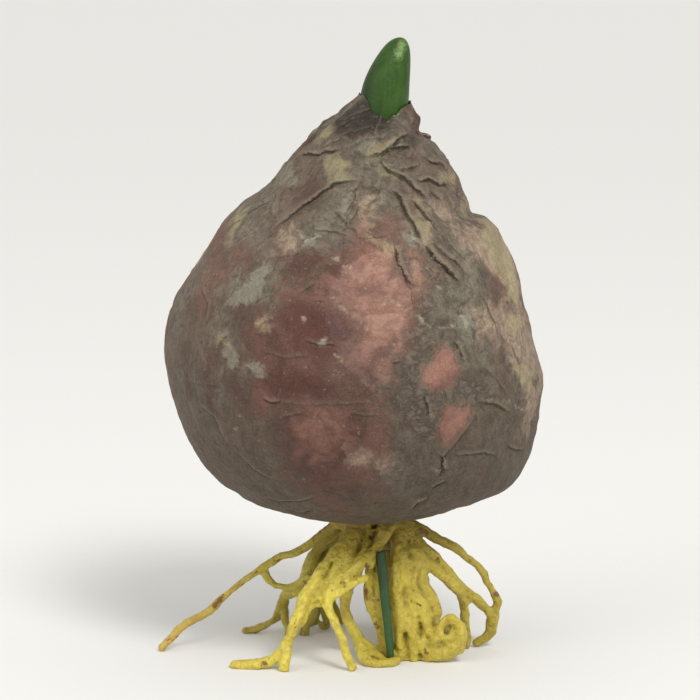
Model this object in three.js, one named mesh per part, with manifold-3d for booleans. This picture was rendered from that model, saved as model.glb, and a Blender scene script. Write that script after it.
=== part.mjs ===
// A hyacinth bulb whose shoot is just showing: the bulb, the torn papery tunic round it, the green shoot in
// its neck, the fleshy yellow roots that it stands on, and a slim green stick that runs down among them.
// Millimetres, +Z up. The front is towards -Y, and +X is on the right seen from the front.
// The origin lies under the middle of the bulb, on the surface that the root tips stand on.

import * as THREE from "three";
import { mergeVertices } from "three/addons/utils/BufferGeometryUtils.js";
import Module from "manifold-3d";

const wasm = await Module();
wasm.setup();

// ---- Driving dimensions ----

const CLEARANCE = 0.3; // between neighbouring pieces
const TUNIC_THICKNESS = 0.6;

// The outline of the whole bulb, from its base to its neck: [middle in x, half width, height].
const OUTLINE = [
  [2.2, 0, 20.9],
  [2.2, 8.7, 21.2],
  [2.4, 15.6, 23.1],
  [2.5, 20.6, 25.6],
  [2.2, 25.0, 29.5],
  [1.5, 27.5, 35.0],
  [0.8, 28.8, 42.0],
  [-0.2, 28.4, 48.6],
  [0.0, 27.0, 54.8],
  [0.8, 24.1, 61.3],
  [1.2, 20.5, 67.0],
  [1.3, 17.0, 70.8],
  [2.5, 14.1, 74.2],
  [2.8, 10.7, 78.2],
  [3.4, 7.7, 82.0],
  [4.7, 5.2, 85.0],
  [5.1, 4.8, 86.8],
];
const DEPTH_SHARE = 0.98; // the bulb's depth, front to back, as a share of its width
const BULB_SIDES = 48;
const BULB_RINGS = 26;

// The dry skin is gathered in pleats towards the neck.
const PLEATS = {
  begin: 62, // height where they begin
  full: 80, // and where they are at their deepest
  depth: 0.3,
  major: { count: 9, twist: 0.13 }, // twist in radians a millimetre of height
  minor: { count: 5, twist: -0.21, share: 0.7 },
};
const DENTS = { depth: 0.45, across: 3, height: 17 }; // shallow hollows all over
const SHOULDER_NOTCH = { angle: 0, height: 69.8, depth: 0.4, wide: 0.5, tall: 1.6 };

// The tunic stops short of the root crown below. Its ragged rim round the shoot is highest on the left.
const TUNIC_FOOT = { share: 0.104, ragged: 0.01 };
const TUNIC_RIM = { share: 0.975, lift: 0.016, ragged: 0.01 };
const BULB_NECK_SHARE = 0.925; // the bulb itself ends inside the tunic's neck

// Tears in the tunic's front, where the bulb shows: corners as [x, z].
const TEARS = [
  // the large one in the middle
  [
    [7.6, 66.3], [8.9, 62.6], [9.3, 58.6], [10.3, 54.6], [9.2, 51.2], [7.9, 47.6], [6.7, 43.6], [7.6, 39.2],
    [4.6, 35.6], [-0.6, 34.4], [-4.4, 38.0], [-7.2, 43.2], [-9.6, 49.0], [-10.4, 54.4], [-6.2, 59.6],
    [-0.4, 62.6],
  ],
  // a narrow one beside it
  [[9.9, 63.6], [11.4, 63.0], [11.8, 60.2], [11.2, 57.8], [10.2, 58.2], [9.6, 60.8]],
  // two lozenges low on the right
  [
    [15.0, 49.8], [16.4, 48.6], [17.0, 46.2], [15.6, 44.2], [13.6, 43.2], [11.8, 43.8], [11.0, 45.6],
    [12.8, 47.6],
  ],
  [
    [15.4, 41.8], [17.9, 41.4], [18.2, 39.6], [16.0, 37.4], [14.6, 35.6], [13.0, 35.4], [13.0, 37.6],
    [13.6, 39.8],
  ],
];

// The shoot leans a little: [middle in x, radius, height], from its sunk foot to its blunt tip.
const SHOOT = [
  [4.5, 2.6, 76.5],
  [4.7, 3.3, 79.0],
  [4.9, 3.7, 82.0],
  [5.2, 3.85, 85.5],
  [5.5, 3.6, 88.0],
  [6.1, 3.15, 90.4],
  [6.8, 2.45, 92.6],
  [7.2, 1.75, 94.0],
  [7.5, 0.9, 94.8],
];
const SHOOT_TIP = [7.6, 0, 95.0];
const SHOOT_SIDES = 24;
const SHOOT_DEPTH_SHARE = 0.9;

// The root crown, a corky plate let into the bulb's base.
const CROWN = { x: 2.9, top: 23.2, rim: 21.6, foot: 19.4, radius: 7.0, topRadius: 6.0, footRadius: 5.6 };
const CROWN_SIDES = 28;

// Roots. Each is a list of points along its middle, [x, y, z], that starts inside the crown or another root.
const ROOT_SIDES = 6;
const ROOT_STEP = 2.0;
const ROOT_TAPER = 0.86; // the tip's radius as a share of the root's
const ROOT_SWELL = 0.1; // how much a root's radius wanders, as a share
const ROOT_SWELLS = 9; // radians of that wander along a root
const ROOT_TIP = 0.6; // how far the blunt tip reaches, as a share of the radius
const FLOOR = 0.38; // height of the middle of a root that lies on the surface
const UNDERGROUND = 100; // side of the block below the surface that trims the roots

const FRONT_ROOTS = [
  // The long one on the left, and the web that hangs from it
  {
    radius: 0.78,
    path: [
      [0.5, -1.5, 21.5], [-1.5, -1.5, 20.4], [-3.5, -1, 18.8], [-6, -1, 17], [-8, -0.8, 15.7],
      [-10.5, -0.5, 14.6], [-13, -0.3, 13.4], [-15.4, -0.5, 11.5], [-17.8, -0.8, 9.6], [-20.2, -1.1, 8.2],
      [-22.4, -1.5, 6], [-24.7, -1.8, 4.7], [-26.9, -2.2, 3], [-28.4, -2.5, 1.4], [-29.5, -2.7, 0.4],
    ],
  },
  {
    radius: 0.73,
    path: [
      [-13.6, 0, 12.6], [-12.9, 0.2, 11], [-11.3, 0.5, 9.7], [-9.6, 0.5, 9.6], [-8, 0, 10.5],
      [-6.3, -1.5, 11.8],
    ],
  },
  {
    radius: 0.92,
    path: [
      [-2, 0, 19.2], [-4.4, 0.8, 17], [-5.8, 1, 14.6], [-6.4, 0.8, 12.3], [-7.4, 0.6, 10], [-8.6, 1, 8.4],
    ],
  },
  // Behind it, two that turn to the left and end on the surface
  {
    radius: 0.93,
    path: [
      [-7.8, 1, 9.6], [-9.3, 4, 7.2], [-10.9, 7, 5.2], [-12, 8.2, 3.3], [-13.1, 8.8, 1.7],
      [-14.8, 9, 0.8], [-17, 9, 0.4],
    ],
  },
  {
    radius: 0.67,
    path: [
      [-11.4, 7.5, 4.6], [-10.5, 7, 3.2], [-9.9, 6.4, 1.8], [-9.8, 5.6, 0.3],
    ],
  },
  // The thick one at the front left, with its heel, and the ones that run into it
  {
    radius: 1.03,
    path: [
      [0, -5, 20], [-0.5, -6, 18.7], [-2, -7.5, 17], [-3.7, -9, 15.2], [-5.3, -10.5, 13.5],
      [-6.5, -11.5, 11.4], [-7.4, -12.3, 9.3], [-8.4, -13, 7.3], [-9.1, -13.5, 5.2], [-9.9, -13.9, 3.3],
      [-11, -13.9, 1.9], [-12.7, -13.5, 1], [-14.6, -13.4, 0.7], [-16.4, -13, 0.5], [-17.8, -12.8, 0.3],
    ],
  },
  {
    radius: 1.06,
    path: [
      [-9.6, -14, 4.2], [-9.9, -14.7, 2.2], [-9.9, -14.9, 0],
    ],
  },
  {
    radius: 0.95,
    path: [
      [1.5, -5, 20], [0.8, -7, 18], [-0.8, -9, 15.9], [-2.6, -10.4, 14], [-4.3, -11, 12],
      [-5.8, -11, 9.8], [-7, -10.6, 7.7], [-7.8, -10.2, 6.2],
    ],
  },
  {
    radius: 0.84,
    path: [
      [1.3, -2.5, 21.4], [0, -4, 19.6], [-1.4, -5.5, 17.6], [-3, -7, 15.6], [-4.4, -8.6, 13.8],
    ],
  },
  {
    radius: 0.89,
    path: [
      [2.2, -4, 21], [1.3, -6.3, 19], [0, -8.4, 17], [-1, -10, 15], [-2.5, -11, 13.1],
      [-3.8, -11.4, 11.3], [-4.6, -11, 9.5],
    ],
  },
  {
    radius: 1.08,
    path: [
      [0.2, 0, 20.5], [-1.2, 0, 16.5], [-2.4, 0.8, 12.6], [-3.8, 2.4, 9.4], [-5.1, 5, 6.6],
      [-6.5, 7, 3.8], [-7.3, 7.8, 1.2], [-7.4, 7.9, 0],
    ],
  },
  // Three bright ones in front
  {
    radius: 0.84,
    path: [
      [3, -7.5, 17.5], [0.6, -9.5, 15.4], [-1, -11, 14], [-2.3, -12, 12.4], [-3.3, -12.5, 10.8],
      [-2.9, -13, 8.7], [-2.1, -13.5, 6.7], [-1.6, -14, 5], [-1, -14.3, 3.4], [-0.3, -14.5, 1.9],
      [0.5, -14.7, 0.3],
    ],
  },
  {
    radius: 0.82,
    path: [
      [-4, -12, 9.5], [-2.9, -12.3, 10.5], [-1.1, -12.5, 11.7], [0.6, -12, 12.8], [2.6, -11, 13.4],
    ],
  },
  {
    radius: 1.0,
    path: [
      [4.8, -5, 21], [4.9, -8, 19.6], [4.5, -8.9, 18], [3.7, -9.2, 16.3], [2.7, -8.8, 14.5],
    ],
  },
  {
    radius: 0.93,
    path: [
      [6.5, -5.5, 21], [5.6, -8.3, 19.4], [4.3, -9.4, 17.8], [2.7, -10, 16.4], [1.4, -10, 14.9],
      [0, -10.6, 13.4],
    ],
  },
  // The ones that come down between the left and the trunk, and creep to the front
  {
    radius: 1.03,
    path: [
      [3.5, -5, 20.5], [3, -7, 18.5], [2.1, -7.8, 16.5], [1.2, -7.6, 14.2], [0.4, -6.5, 12.2],
      [-0.4, -5.2, 10], [-0.6, -4.5, 7.6], [-0.3, -4.5, 5.6], [0.4, -4.6, 4], [1.2, -5.2, 2.4],
      [2.5, -6.8, 1.2], [4, -9.3, 0.9], [5.8, -11.4, 0.5],
    ],
  },
  {
    radius: 0.92,
    path: [
      [1, -5, 2.6], [1.6, -8.2, 1.5], [2.5, -11.6, 0.9], [4, -12.5, 0.6], [6, -12.4, 0.5],
      [7.2, -10.5, 0.6],
    ],
  },
  {
    radius: 0.92,
    path: [
      [1, -5, 2.6], [3, -6.5, 1.6], [4.8, -7.6, 1.2], [7, -8.6, 0.8],
    ],
  },
  {
    radius: 0.97,
    path: [
      [4.5, -4.5, 20], [4, -6, 17.2], [3.2, -6.5, 14.5], [2.9, -6.5, 11.8], [3, -6.5, 9.3],
      [3.6, -6.6, 7], [4.4, -7, 4.9], [5.1, -7.5, 3], [5.8, -8, 0.8],
    ],
  },
  // On the right, two that fork and one round the outside
  {
    radius: 0.84,
    path: [
      [7.5, -2, 21.6], [9, -2.6, 20.6], [10.6, -3, 19.6], [12.7, -3, 18.5], [15, -2.9, 17],
      [17, -2.6, 15.5], [18.9, -2.2, 14.2], [20.4, -1.8, 12.5], [21.5, -1.5, 10.6], [22.5, -1, 8.6],
      [23, -0.5, 6.4], [22.7, -0.3, 4.1], [22.1, 0, 2.4], [20.9, 0, 1.1], [19.5, 0, 0.6],
    ],
  },
  {
    radius: 0.84,
    path: [
      [8, -2.5, 21], [9.6, -3.6, 19.3], [11.1, -4.6, 17.5], [13, -5, 15.7], [14.6, -4.6, 13.8],
      [16.1, -4, 12], [17.4, -3, 10], [19.2, -2, 8.3], [20.8, -1, 6.6], [22, -0.3, 4.9], [21.9, 0, 3],
    ],
  },
  {
    radius: 0.84,
    path: [
      [7.5, -3.5, 20.6], [9, -4.6, 18.8], [10.2, -5.5, 16.8], [12, -6, 14.7], [14, -5.5, 12.7],
      [15.9, -4.2, 10.7], [17.3, -2.8, 8.7], [17.9, -2, 6.6], [18, -1.6, 4.4], [18.3, -1.2, 2.2],
      [18.3, -1, 0.3],
    ],
  },
  // The one that curls up
  {
    radius: 1.03,
    path: [
      [11.4, -9, 1.2], [13, -9.5, 0.9], [15, -9.7, 1.1], [16.8, -9.6, 2.2], [17.5, -9.4, 4],
      [16.9, -9.3, 5.7], [15.2, -9.3, 6.3], [13.9, -9.5, 5.5], [13.7, -9.7, 4.1], [14.8, -9.8, 3.3],
      [15.8, -9.7, 4],
    ],
  },
];

// The trunk: roots pressed side by side, fanned between the ones on its left and its right.
const TRUNK_LEFT = [
  [7.2, -4, 21], [7, -6, 17.5], [6.7, -7, 14], [7, -7.6, 10], [7.4, -8.1, 6], [7.8, -8.7, -0.6],
];
const TRUNK_RIGHT = [
  [9, -3.2, 21], [9.7, -5, 17.5], [10, -6, 14.2], [11.2, -7, 10.6], [12.8, -7.8, 7], [12.7, -9, -0.6],
];
const TRUNK = { count: 6, radius: 1.0, weave: 0.9 };

// The back roots come down steeply from the crown behind the others, and creep out along the surface from
// these feet.
const BACK_FEET = [
  [-8.2, 10.6],
  [-5.6, 12.4],
  [-3.4, 10.2],
  [-1.2, 13.6],
  [5.4, 13.2],
  [7.2, 10.4],
  [9.4, 13.4],
  [11.2, 9.8],
  [13.8, 11.4],
  [14.6, 7.2],
];
const BACK = {
  radius: 0.78,
  start: 4.6, // distance from the crown's middle
  knee: { height: 13, reach: 0.55 }, // reach: depth as a share of the foot's
  shin: { height: 5, reach: 0.82 },
  heel: 1.2,
  creep: 2.4,
  wander: 0.5,
};
const BACK_LANES = { left: -4.4, right: 8.6, width: 0.45 }; // they keep behind the front left and the trunk
const SEED = 11;

// The stick: an oval rod from the crown down to the surface.
const STICK = { top: [4.3, -6.2, 20.6], foot: [6.3, -10.6, 0.3], width: 1.35, thickness: 0.9, sides: 12 };

const COLOURS = {
  bulb: 0x8a5a50,
  tunic: 0x6d625a,
  shoot: 0x3c7a2c,
  roots: 0xbcab3d,
  stick: 0x274a30,
};

// ---- Solids ----

// A closed skin over rings of points that run anticlockwise seen from the last ring's side. A ring of one
// point is a pole. A looped skin also joins its last ring to its first.
function loft(rings, looped = false) {
  const sides = Math.max(...rings.map((ring) => ring.length));
  const starts = [];
  let count = 0;
  for (const ring of rings) {
    starts.push(count);
    count += ring.length;
  }
  const corner = (ring, side) => starts[ring] + (rings[ring].length > 1 ? side % sides : 0);
  const index = [];
  const bands = looped ? rings.length : rings.length - 1;
  for (let lower = 0; lower < bands; lower++) {
    const upper = (lower + 1) % rings.length;
    for (let side = 0; side < sides; side++) {
      const [a, b] = [corner(lower, side), corner(lower, side + 1)];
      const [c, d] = [corner(upper, side + 1), corner(upper, side)];
      if (a !== b) index.push(a, b, c);
      if (c !== d) index.push(a, c, d);
    }
  }
  const geometry = new THREE.BufferGeometry();
  const numbers = rings.flat().flatMap((point) => point.toArray());
  geometry.setAttribute("position", new THREE.Float32BufferAttribute(numbers, 3));
  geometry.setIndex(index);
  return geometry;
}

function solid(geometry) {
  const bare = geometry.clone();
  bare.deleteAttribute("normal");
  bare.deleteAttribute("uv");
  const merged = mergeVertices(bare, 1e-4);
  return new wasm.Manifold(
    new wasm.Mesh({
      numProp: 3,
      vertProperties: merged.attributes.position.array,
      triVerts: new Uint32Array(merged.index.array),
    }),
  );
}

function namedMesh(name, made, roughness) {
  const { vertProperties, triVerts } = made.getMesh();
  const geometry = new THREE.BufferGeometry();
  geometry.setAttribute("position", new THREE.BufferAttribute(vertProperties, 3));
  geometry.setIndex(new THREE.BufferAttribute(triVerts, 1));
  geometry.computeVertexNormals();
  const material = new THREE.MeshStandardMaterial({ color: COLOURS[name], roughness, metalness: 0 });
  const mesh = new THREE.Mesh(geometry, material);
  mesh.name = name;
  return mesh;
}

function smoothCurve(points) {
  return new THREE.CatmullRomCurve3(points.map((p) => new THREE.Vector3(...p)), false, "centripetal");
}

// ---- The bulb's skin ----

const outline = smoothCurve(OUTLINE);

// How far the skin stands out from the plain outline.
function relief(angle, height) {
  const gathered = THREE.MathUtils.smoothstep(height, PLEATS.begin, PLEATS.full);
  const { major, minor } = PLEATS;
  const pleats =
    Math.sin(major.count * angle + major.twist * height) +
    minor.share * Math.sin(minor.count * angle + minor.twist * height + 1) -
    1;
  const level = height / DENTS.height;
  const dents = Math.sin(DENTS.across * angle + level) * Math.sin(DENTS.across * level + angle);
  const round = Math.atan2(Math.sin(angle - SHOULDER_NOTCH.angle), Math.cos(angle - SHOULDER_NOTCH.angle));
  const notch = Math.exp(
    -((round / SHOULDER_NOTCH.wide) ** 2) - ((height - SHOULDER_NOTCH.height) / SHOULDER_NOTCH.tall) ** 2,
  );
  const sideways = Math.sin(angle) ** 2; // the dents leave the outline seen from the front as it is
  return gathered * PLEATS.depth * pleats + sideways * DENTS.depth * dents - SHOULDER_NOTCH.depth * notch;
}

// A point on the skin: share runs from 0 at the base to 1 at the neck, and angle turns from +X towards +Y.
function skinPoint(share, angle, inset) {
  const middle = outline.getPointAt(share); // x: middle, y: half width, z: height
  const along = outline.getTangentAt(share);
  const lean = Math.hypot(along.y, along.z);
  const out = (share > 0 ? relief(angle, middle.z) : 0) - inset;
  const radius = middle.y + (out * along.z) / lean;
  return new THREE.Vector3(
    middle.x + radius * Math.cos(angle),
    radius * DEPTH_SHARE * Math.sin(angle),
    middle.z - (out * along.y) / lean,
  );
}

function ring(sides, pointAt) {
  return Array.from({ length: sides }, (_, k) => pointAt((2 * Math.PI * k) / sides));
}

// ---- The pieces ----

function shootRings(grow = 0) {
  const rings = SHOOT.map(([x, radius, z]) =>
    ring(SHOOT_SIDES, (angle) => {
      const across = radius + grow;
      const deep = across * SHOOT_DEPTH_SHARE;
      return new THREE.Vector3(x + across * Math.cos(angle), deep * Math.sin(angle), z);
    }),
  );
  const [footX, , footZ] = SHOOT[0];
  const [tipX, , tipZ] = SHOOT_TIP;
  return [[new THREE.Vector3(footX, 0, footZ - grow)], ...rings, [new THREE.Vector3(tipX, 0, tipZ + grow)]];
}

function crown(grow = 0) {
  const profile = [
    [0, CROWN.foot - grow],
    [CROWN.footRadius + grow, CROWN.foot - grow],
    [CROWN.radius + grow, CROWN.rim],
    [CROWN.topRadius + grow, CROWN.top + grow],
    [0, CROWN.top + grow],
  ].map(([x, y]) => new THREE.Vector2(x, y));
  const geometry = new THREE.LatheGeometry(profile, CROWN_SIDES);
  geometry.rotateX(Math.PI / 2); // the lathe turns about y
  geometry.translate(CROWN.x, 0, 0);
  return solid(geometry);
}

function bulb() {
  const rings = [[skinPoint(0, 0, TUNIC_THICKNESS + CLEARANCE)]];
  for (let k = 1; k <= BULB_RINGS; k++) {
    const share = (BULB_NECK_SHARE * k) / BULB_RINGS;
    rings.push(ring(BULB_SIDES, (angle) => skinPoint(share, angle, TUNIC_THICKNESS + CLEARANCE)));
  }
  const [neckX, , neckZ] = outline.getPointAt(BULB_NECK_SHARE).toArray();
  rings.push([new THREE.Vector3(neckX, 0, neckZ + CLEARANCE)]);
  return solid(loft(rings)).subtract(solid(loft(shootRings(CLEARANCE)))).subtract(crown(CLEARANCE));
}

// The tunic is a sheet: its outer face goes up from foot to rim, and its inner face comes back down.
function tunic() {
  const footShare = (angle) => TUNIC_FOOT.share + TUNIC_FOOT.ragged * Math.sin(4 * angle + 0.8);
  const rimShare = (angle) =>
    TUNIC_RIM.share -
    TUNIC_RIM.lift * Math.cos(angle) +
    TUNIC_RIM.ragged * (0.6 * Math.sin(3 * angle + 2.4) + 0.4 * Math.sin(7 * angle));
  const faceRing = (step, inset) =>
    ring(BULB_SIDES, (angle) => {
      const share = THREE.MathUtils.lerp(footShare(angle), rimShare(angle), step / BULB_RINGS);
      return skinPoint(share, angle, inset);
    });
  const rings = [];
  for (let step = 0; step <= BULB_RINGS; step++) rings.push(faceRing(step, 0));
  for (let step = BULB_RINGS; step >= 0; step--) rings.push(faceRing(step, TUNIC_THICKNESS));
  let sheet = solid(loft(rings, true));
  for (const corners of TEARS) sheet = sheet.subtract(tearCutter(corners));
  return sheet.subtract(solid(loft(shootRings(CLEARANCE))));
}

// A prism that goes into the front of the tunic and stops at the bulb's middle.
function tearCutter(corners) {
  const shape = new THREE.Shape(corners.map(([x, z]) => new THREE.Vector2(x, z)));
  const widest = Math.max(...OUTLINE.map(([, halfWidth]) => halfWidth));
  const geometry = new THREE.ExtrudeGeometry(shape, { depth: 1.1 * widest, bevelEnabled: false });
  geometry.rotateX(Math.PI / 2); // the shape's y becomes height, and its depth goes to the front
  return solid(geometry);
}

// A root of wandering thickness along a path.
function root(path, radius, phase) {
  const curve = smoothCurve(path);
  const steps = Math.max(3, Math.ceil(curve.getLength() / ROOT_STEP));
  const frames = curve.computeFrenetFrames(steps, false);
  const middles = curve.getSpacedPoints(steps);
  const thicknessAt = (share) => {
    const swell = 1 + ROOT_SWELL * Math.sin(ROOT_SWELLS * share + phase);
    return radius * THREE.MathUtils.lerp(1, ROOT_TAPER, share) * swell;
  };
  const rings = middles.map((middle, k) =>
    ring(ROOT_SIDES, (angle) =>
      middle
        .clone()
        .addScaledVector(frames.normals[k], thicknessAt(k / steps) * Math.cos(angle))
        .addScaledVector(frames.binormals[k], thicknessAt(k / steps) * Math.sin(angle)),
    ),
  );
  const tip = middles[steps].clone().addScaledVector(frames.tangents[steps], ROOT_TIP * radius);
  return solid(loft([[middles[0]], ...rings, [tip]]));
}

function mulberry(seed) {
  let state = seed;
  return () => {
    state = (state + 0x6d2b79f5) | 0;
    let t = Math.imul(state ^ (state >>> 15), 1 | state);
    t = (t + Math.imul(t ^ (t >>> 7), 61 | t)) ^ t;
    return ((t ^ (t >>> 14)) >>> 0) / 4294967296;
  };
}

function trunkRoots() {
  const roots = [];
  for (let k = 0; k < TRUNK.count; k++) {
    const share = k / (TRUNK.count - 1);
    const behind = k % 2 ? TRUNK.weave : 0; // every other root lies a little further back
    const path = TRUNK_LEFT.map((left, n) => {
      const point = left.map((value, axis) => THREE.MathUtils.lerp(value, TRUNK_RIGHT[n][axis], share));
      return [point[0], point[1] + behind, point[2]];
    });
    roots.push({ radius: TRUNK.radius, path });
  }
  return roots;
}

function backRoots() {
  const random = mulberry(SEED);
  const wander = () => BACK.wander * (2 * random() - 1);
  return BACK_FEET.map(([x, y]) => {
    const lane = THREE.MathUtils.lerp(x < CROWN.x ? BACK_LANES.left : BACK_LANES.right, x, BACK_LANES.width);
    const [outX, outY] = [x - CROWN.x, y].map((value) => value / Math.hypot(x - CROWN.x, y));
    const inLane = ({ height, reach }) => [lane + wander(), reach * y + wander(), height + wander()];
    return {
      radius: BACK.radius,
      path: [
        [CROWN.x + BACK.start * outX, BACK.start * outY, CROWN.rim],
        [CROWN.x + BACK.start * outX, BACK.start * outY, CROWN.foot - 1],
        inLane(BACK.knee),
        inLane(BACK.shin),
        [x, y, BACK.heel],
        [x + BACK.creep * outX + wander(), y + BACK.creep * outY, FLOOR],
      ],
    };
  });
}

function stickRings(grow = 0) {
  const [top, foot] = [new THREE.Vector3(...STICK.top), new THREE.Vector3(...STICK.foot)];
  const along = foot.clone().sub(top).normalize();
  const across = new THREE.Vector3(1, 0, 0).addScaledVector(along, -along.x).normalize();
  const through = new THREE.Vector3().crossVectors(along, across);
  const end = (middle) =>
    ring(STICK.sides, (angle) =>
      middle
        .clone()
        .addScaledVector(across, (STICK.width / 2 + grow) * Math.cos(angle))
        .addScaledVector(through, (STICK.thickness / 2 + grow) * Math.sin(angle)),
    );
  top.addScaledVector(along, -grow);
  foot.addScaledVector(along, grow);
  return [[top], end(top), end(foot), [foot]];
}

// Crown and roots grew as one. They are trimmed flat where they stand, and a plain hole takes the stick.
function roots() {
  let grown = crown();
  [...FRONT_ROOTS, ...trunkRoots(), ...backRoots()].forEach(({ path, radius }, k) => {
    grown = grown.add(root(path, radius, k));
  });
  const underground = new THREE.BoxGeometry(UNDERGROUND, UNDERGROUND, UNDERGROUND);
  underground.translate(0, 0, -UNDERGROUND / 2);
  return grown.subtract(solid(underground)).subtract(solid(loft(stickRings(CLEARANCE))));
}

const part = new THREE.Group();
part.add(
  namedMesh("bulb", bulb(), 0.6),
  namedMesh("tunic", tunic(), 0.85),
  namedMesh("shoot", solid(loft(shootRings())), 0.35),
  namedMesh("roots", roots(), 0.5),
  namedMesh("stick", solid(loft(stickRings())), 0.5),
);

export default part;
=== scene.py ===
# A hyacinth bulb that stands on its own yellow roots, with its green shoot just showing: a fleshy bulb, the
# dry torn skin round it, the shoot, the roots under it and a slim green stick among them.
# Metres, +Z up, the front towards -Y.

import math

import bpy
import numpy as np
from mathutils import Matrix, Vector, noise
from mathutils.bvhtree import BVHTree


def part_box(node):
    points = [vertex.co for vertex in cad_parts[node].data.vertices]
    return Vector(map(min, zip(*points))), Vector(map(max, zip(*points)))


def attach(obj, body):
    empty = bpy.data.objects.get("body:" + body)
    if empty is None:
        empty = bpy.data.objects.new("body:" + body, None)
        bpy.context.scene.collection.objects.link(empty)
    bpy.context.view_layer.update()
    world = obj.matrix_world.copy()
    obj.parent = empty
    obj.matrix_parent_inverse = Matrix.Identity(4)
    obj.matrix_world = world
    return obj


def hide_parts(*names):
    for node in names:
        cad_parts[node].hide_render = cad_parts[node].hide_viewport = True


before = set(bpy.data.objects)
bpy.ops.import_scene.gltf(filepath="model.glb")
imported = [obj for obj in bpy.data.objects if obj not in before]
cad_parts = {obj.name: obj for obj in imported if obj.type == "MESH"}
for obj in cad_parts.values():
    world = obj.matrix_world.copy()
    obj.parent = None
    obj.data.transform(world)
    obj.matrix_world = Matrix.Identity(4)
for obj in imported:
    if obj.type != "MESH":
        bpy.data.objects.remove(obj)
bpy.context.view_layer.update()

MM = 0.001

# ---- The photograph's camera ----

PHOTO_SIDE = 700  # pixels
PHOTO_MIDDLE = PHOTO_SIDE / 2
ELEVATION = math.radians(8.0)
DISTANCE = 420 * MM
AIM = Vector((0, 0, 47 * MM))
PIXEL = MM / 6.481  # a photograph's pixel at the aim
SENSOR = 36.0
FORWARD = Vector((0, math.cos(ELEVATION), -math.sin(ELEVATION)))
UPWARD = Vector((0, math.sin(ELEVATION), math.cos(ELEVATION)))
RIGHTWARD = Vector((1, 0, 0))
EYE = AIM - DISTANCE * FORWARD


def sight(pixel):
    """The direction from the camera through a pixel of the photograph."""
    across = (pixel[0] - PHOTO_MIDDLE) * PIXEL
    up = (PHOTO_MIDDLE - pixel[1]) * PIXEL
    return (AIM + across * RIGHTWARD + up * UPWARD - EYE).normalized()


def make_camera():
    lens = SENSOR * DISTANCE / (PHOTO_SIDE * PIXEL)
    bpy.ops.object.camera_add(location=EYE, rotation=(math.radians(90) - ELEVATION, 0, 0))
    camera = bpy.context.object
    camera.name = "photo_camera"
    camera.data.sensor_width = SENSOR
    camera.data.lens = lens
    camera.data.clip_start = 10 * MM
    camera.data.clip_end = 60
    bpy.context.scene.camera = camera


# ---- What the photograph shows on the skin, in its pixels ----

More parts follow.
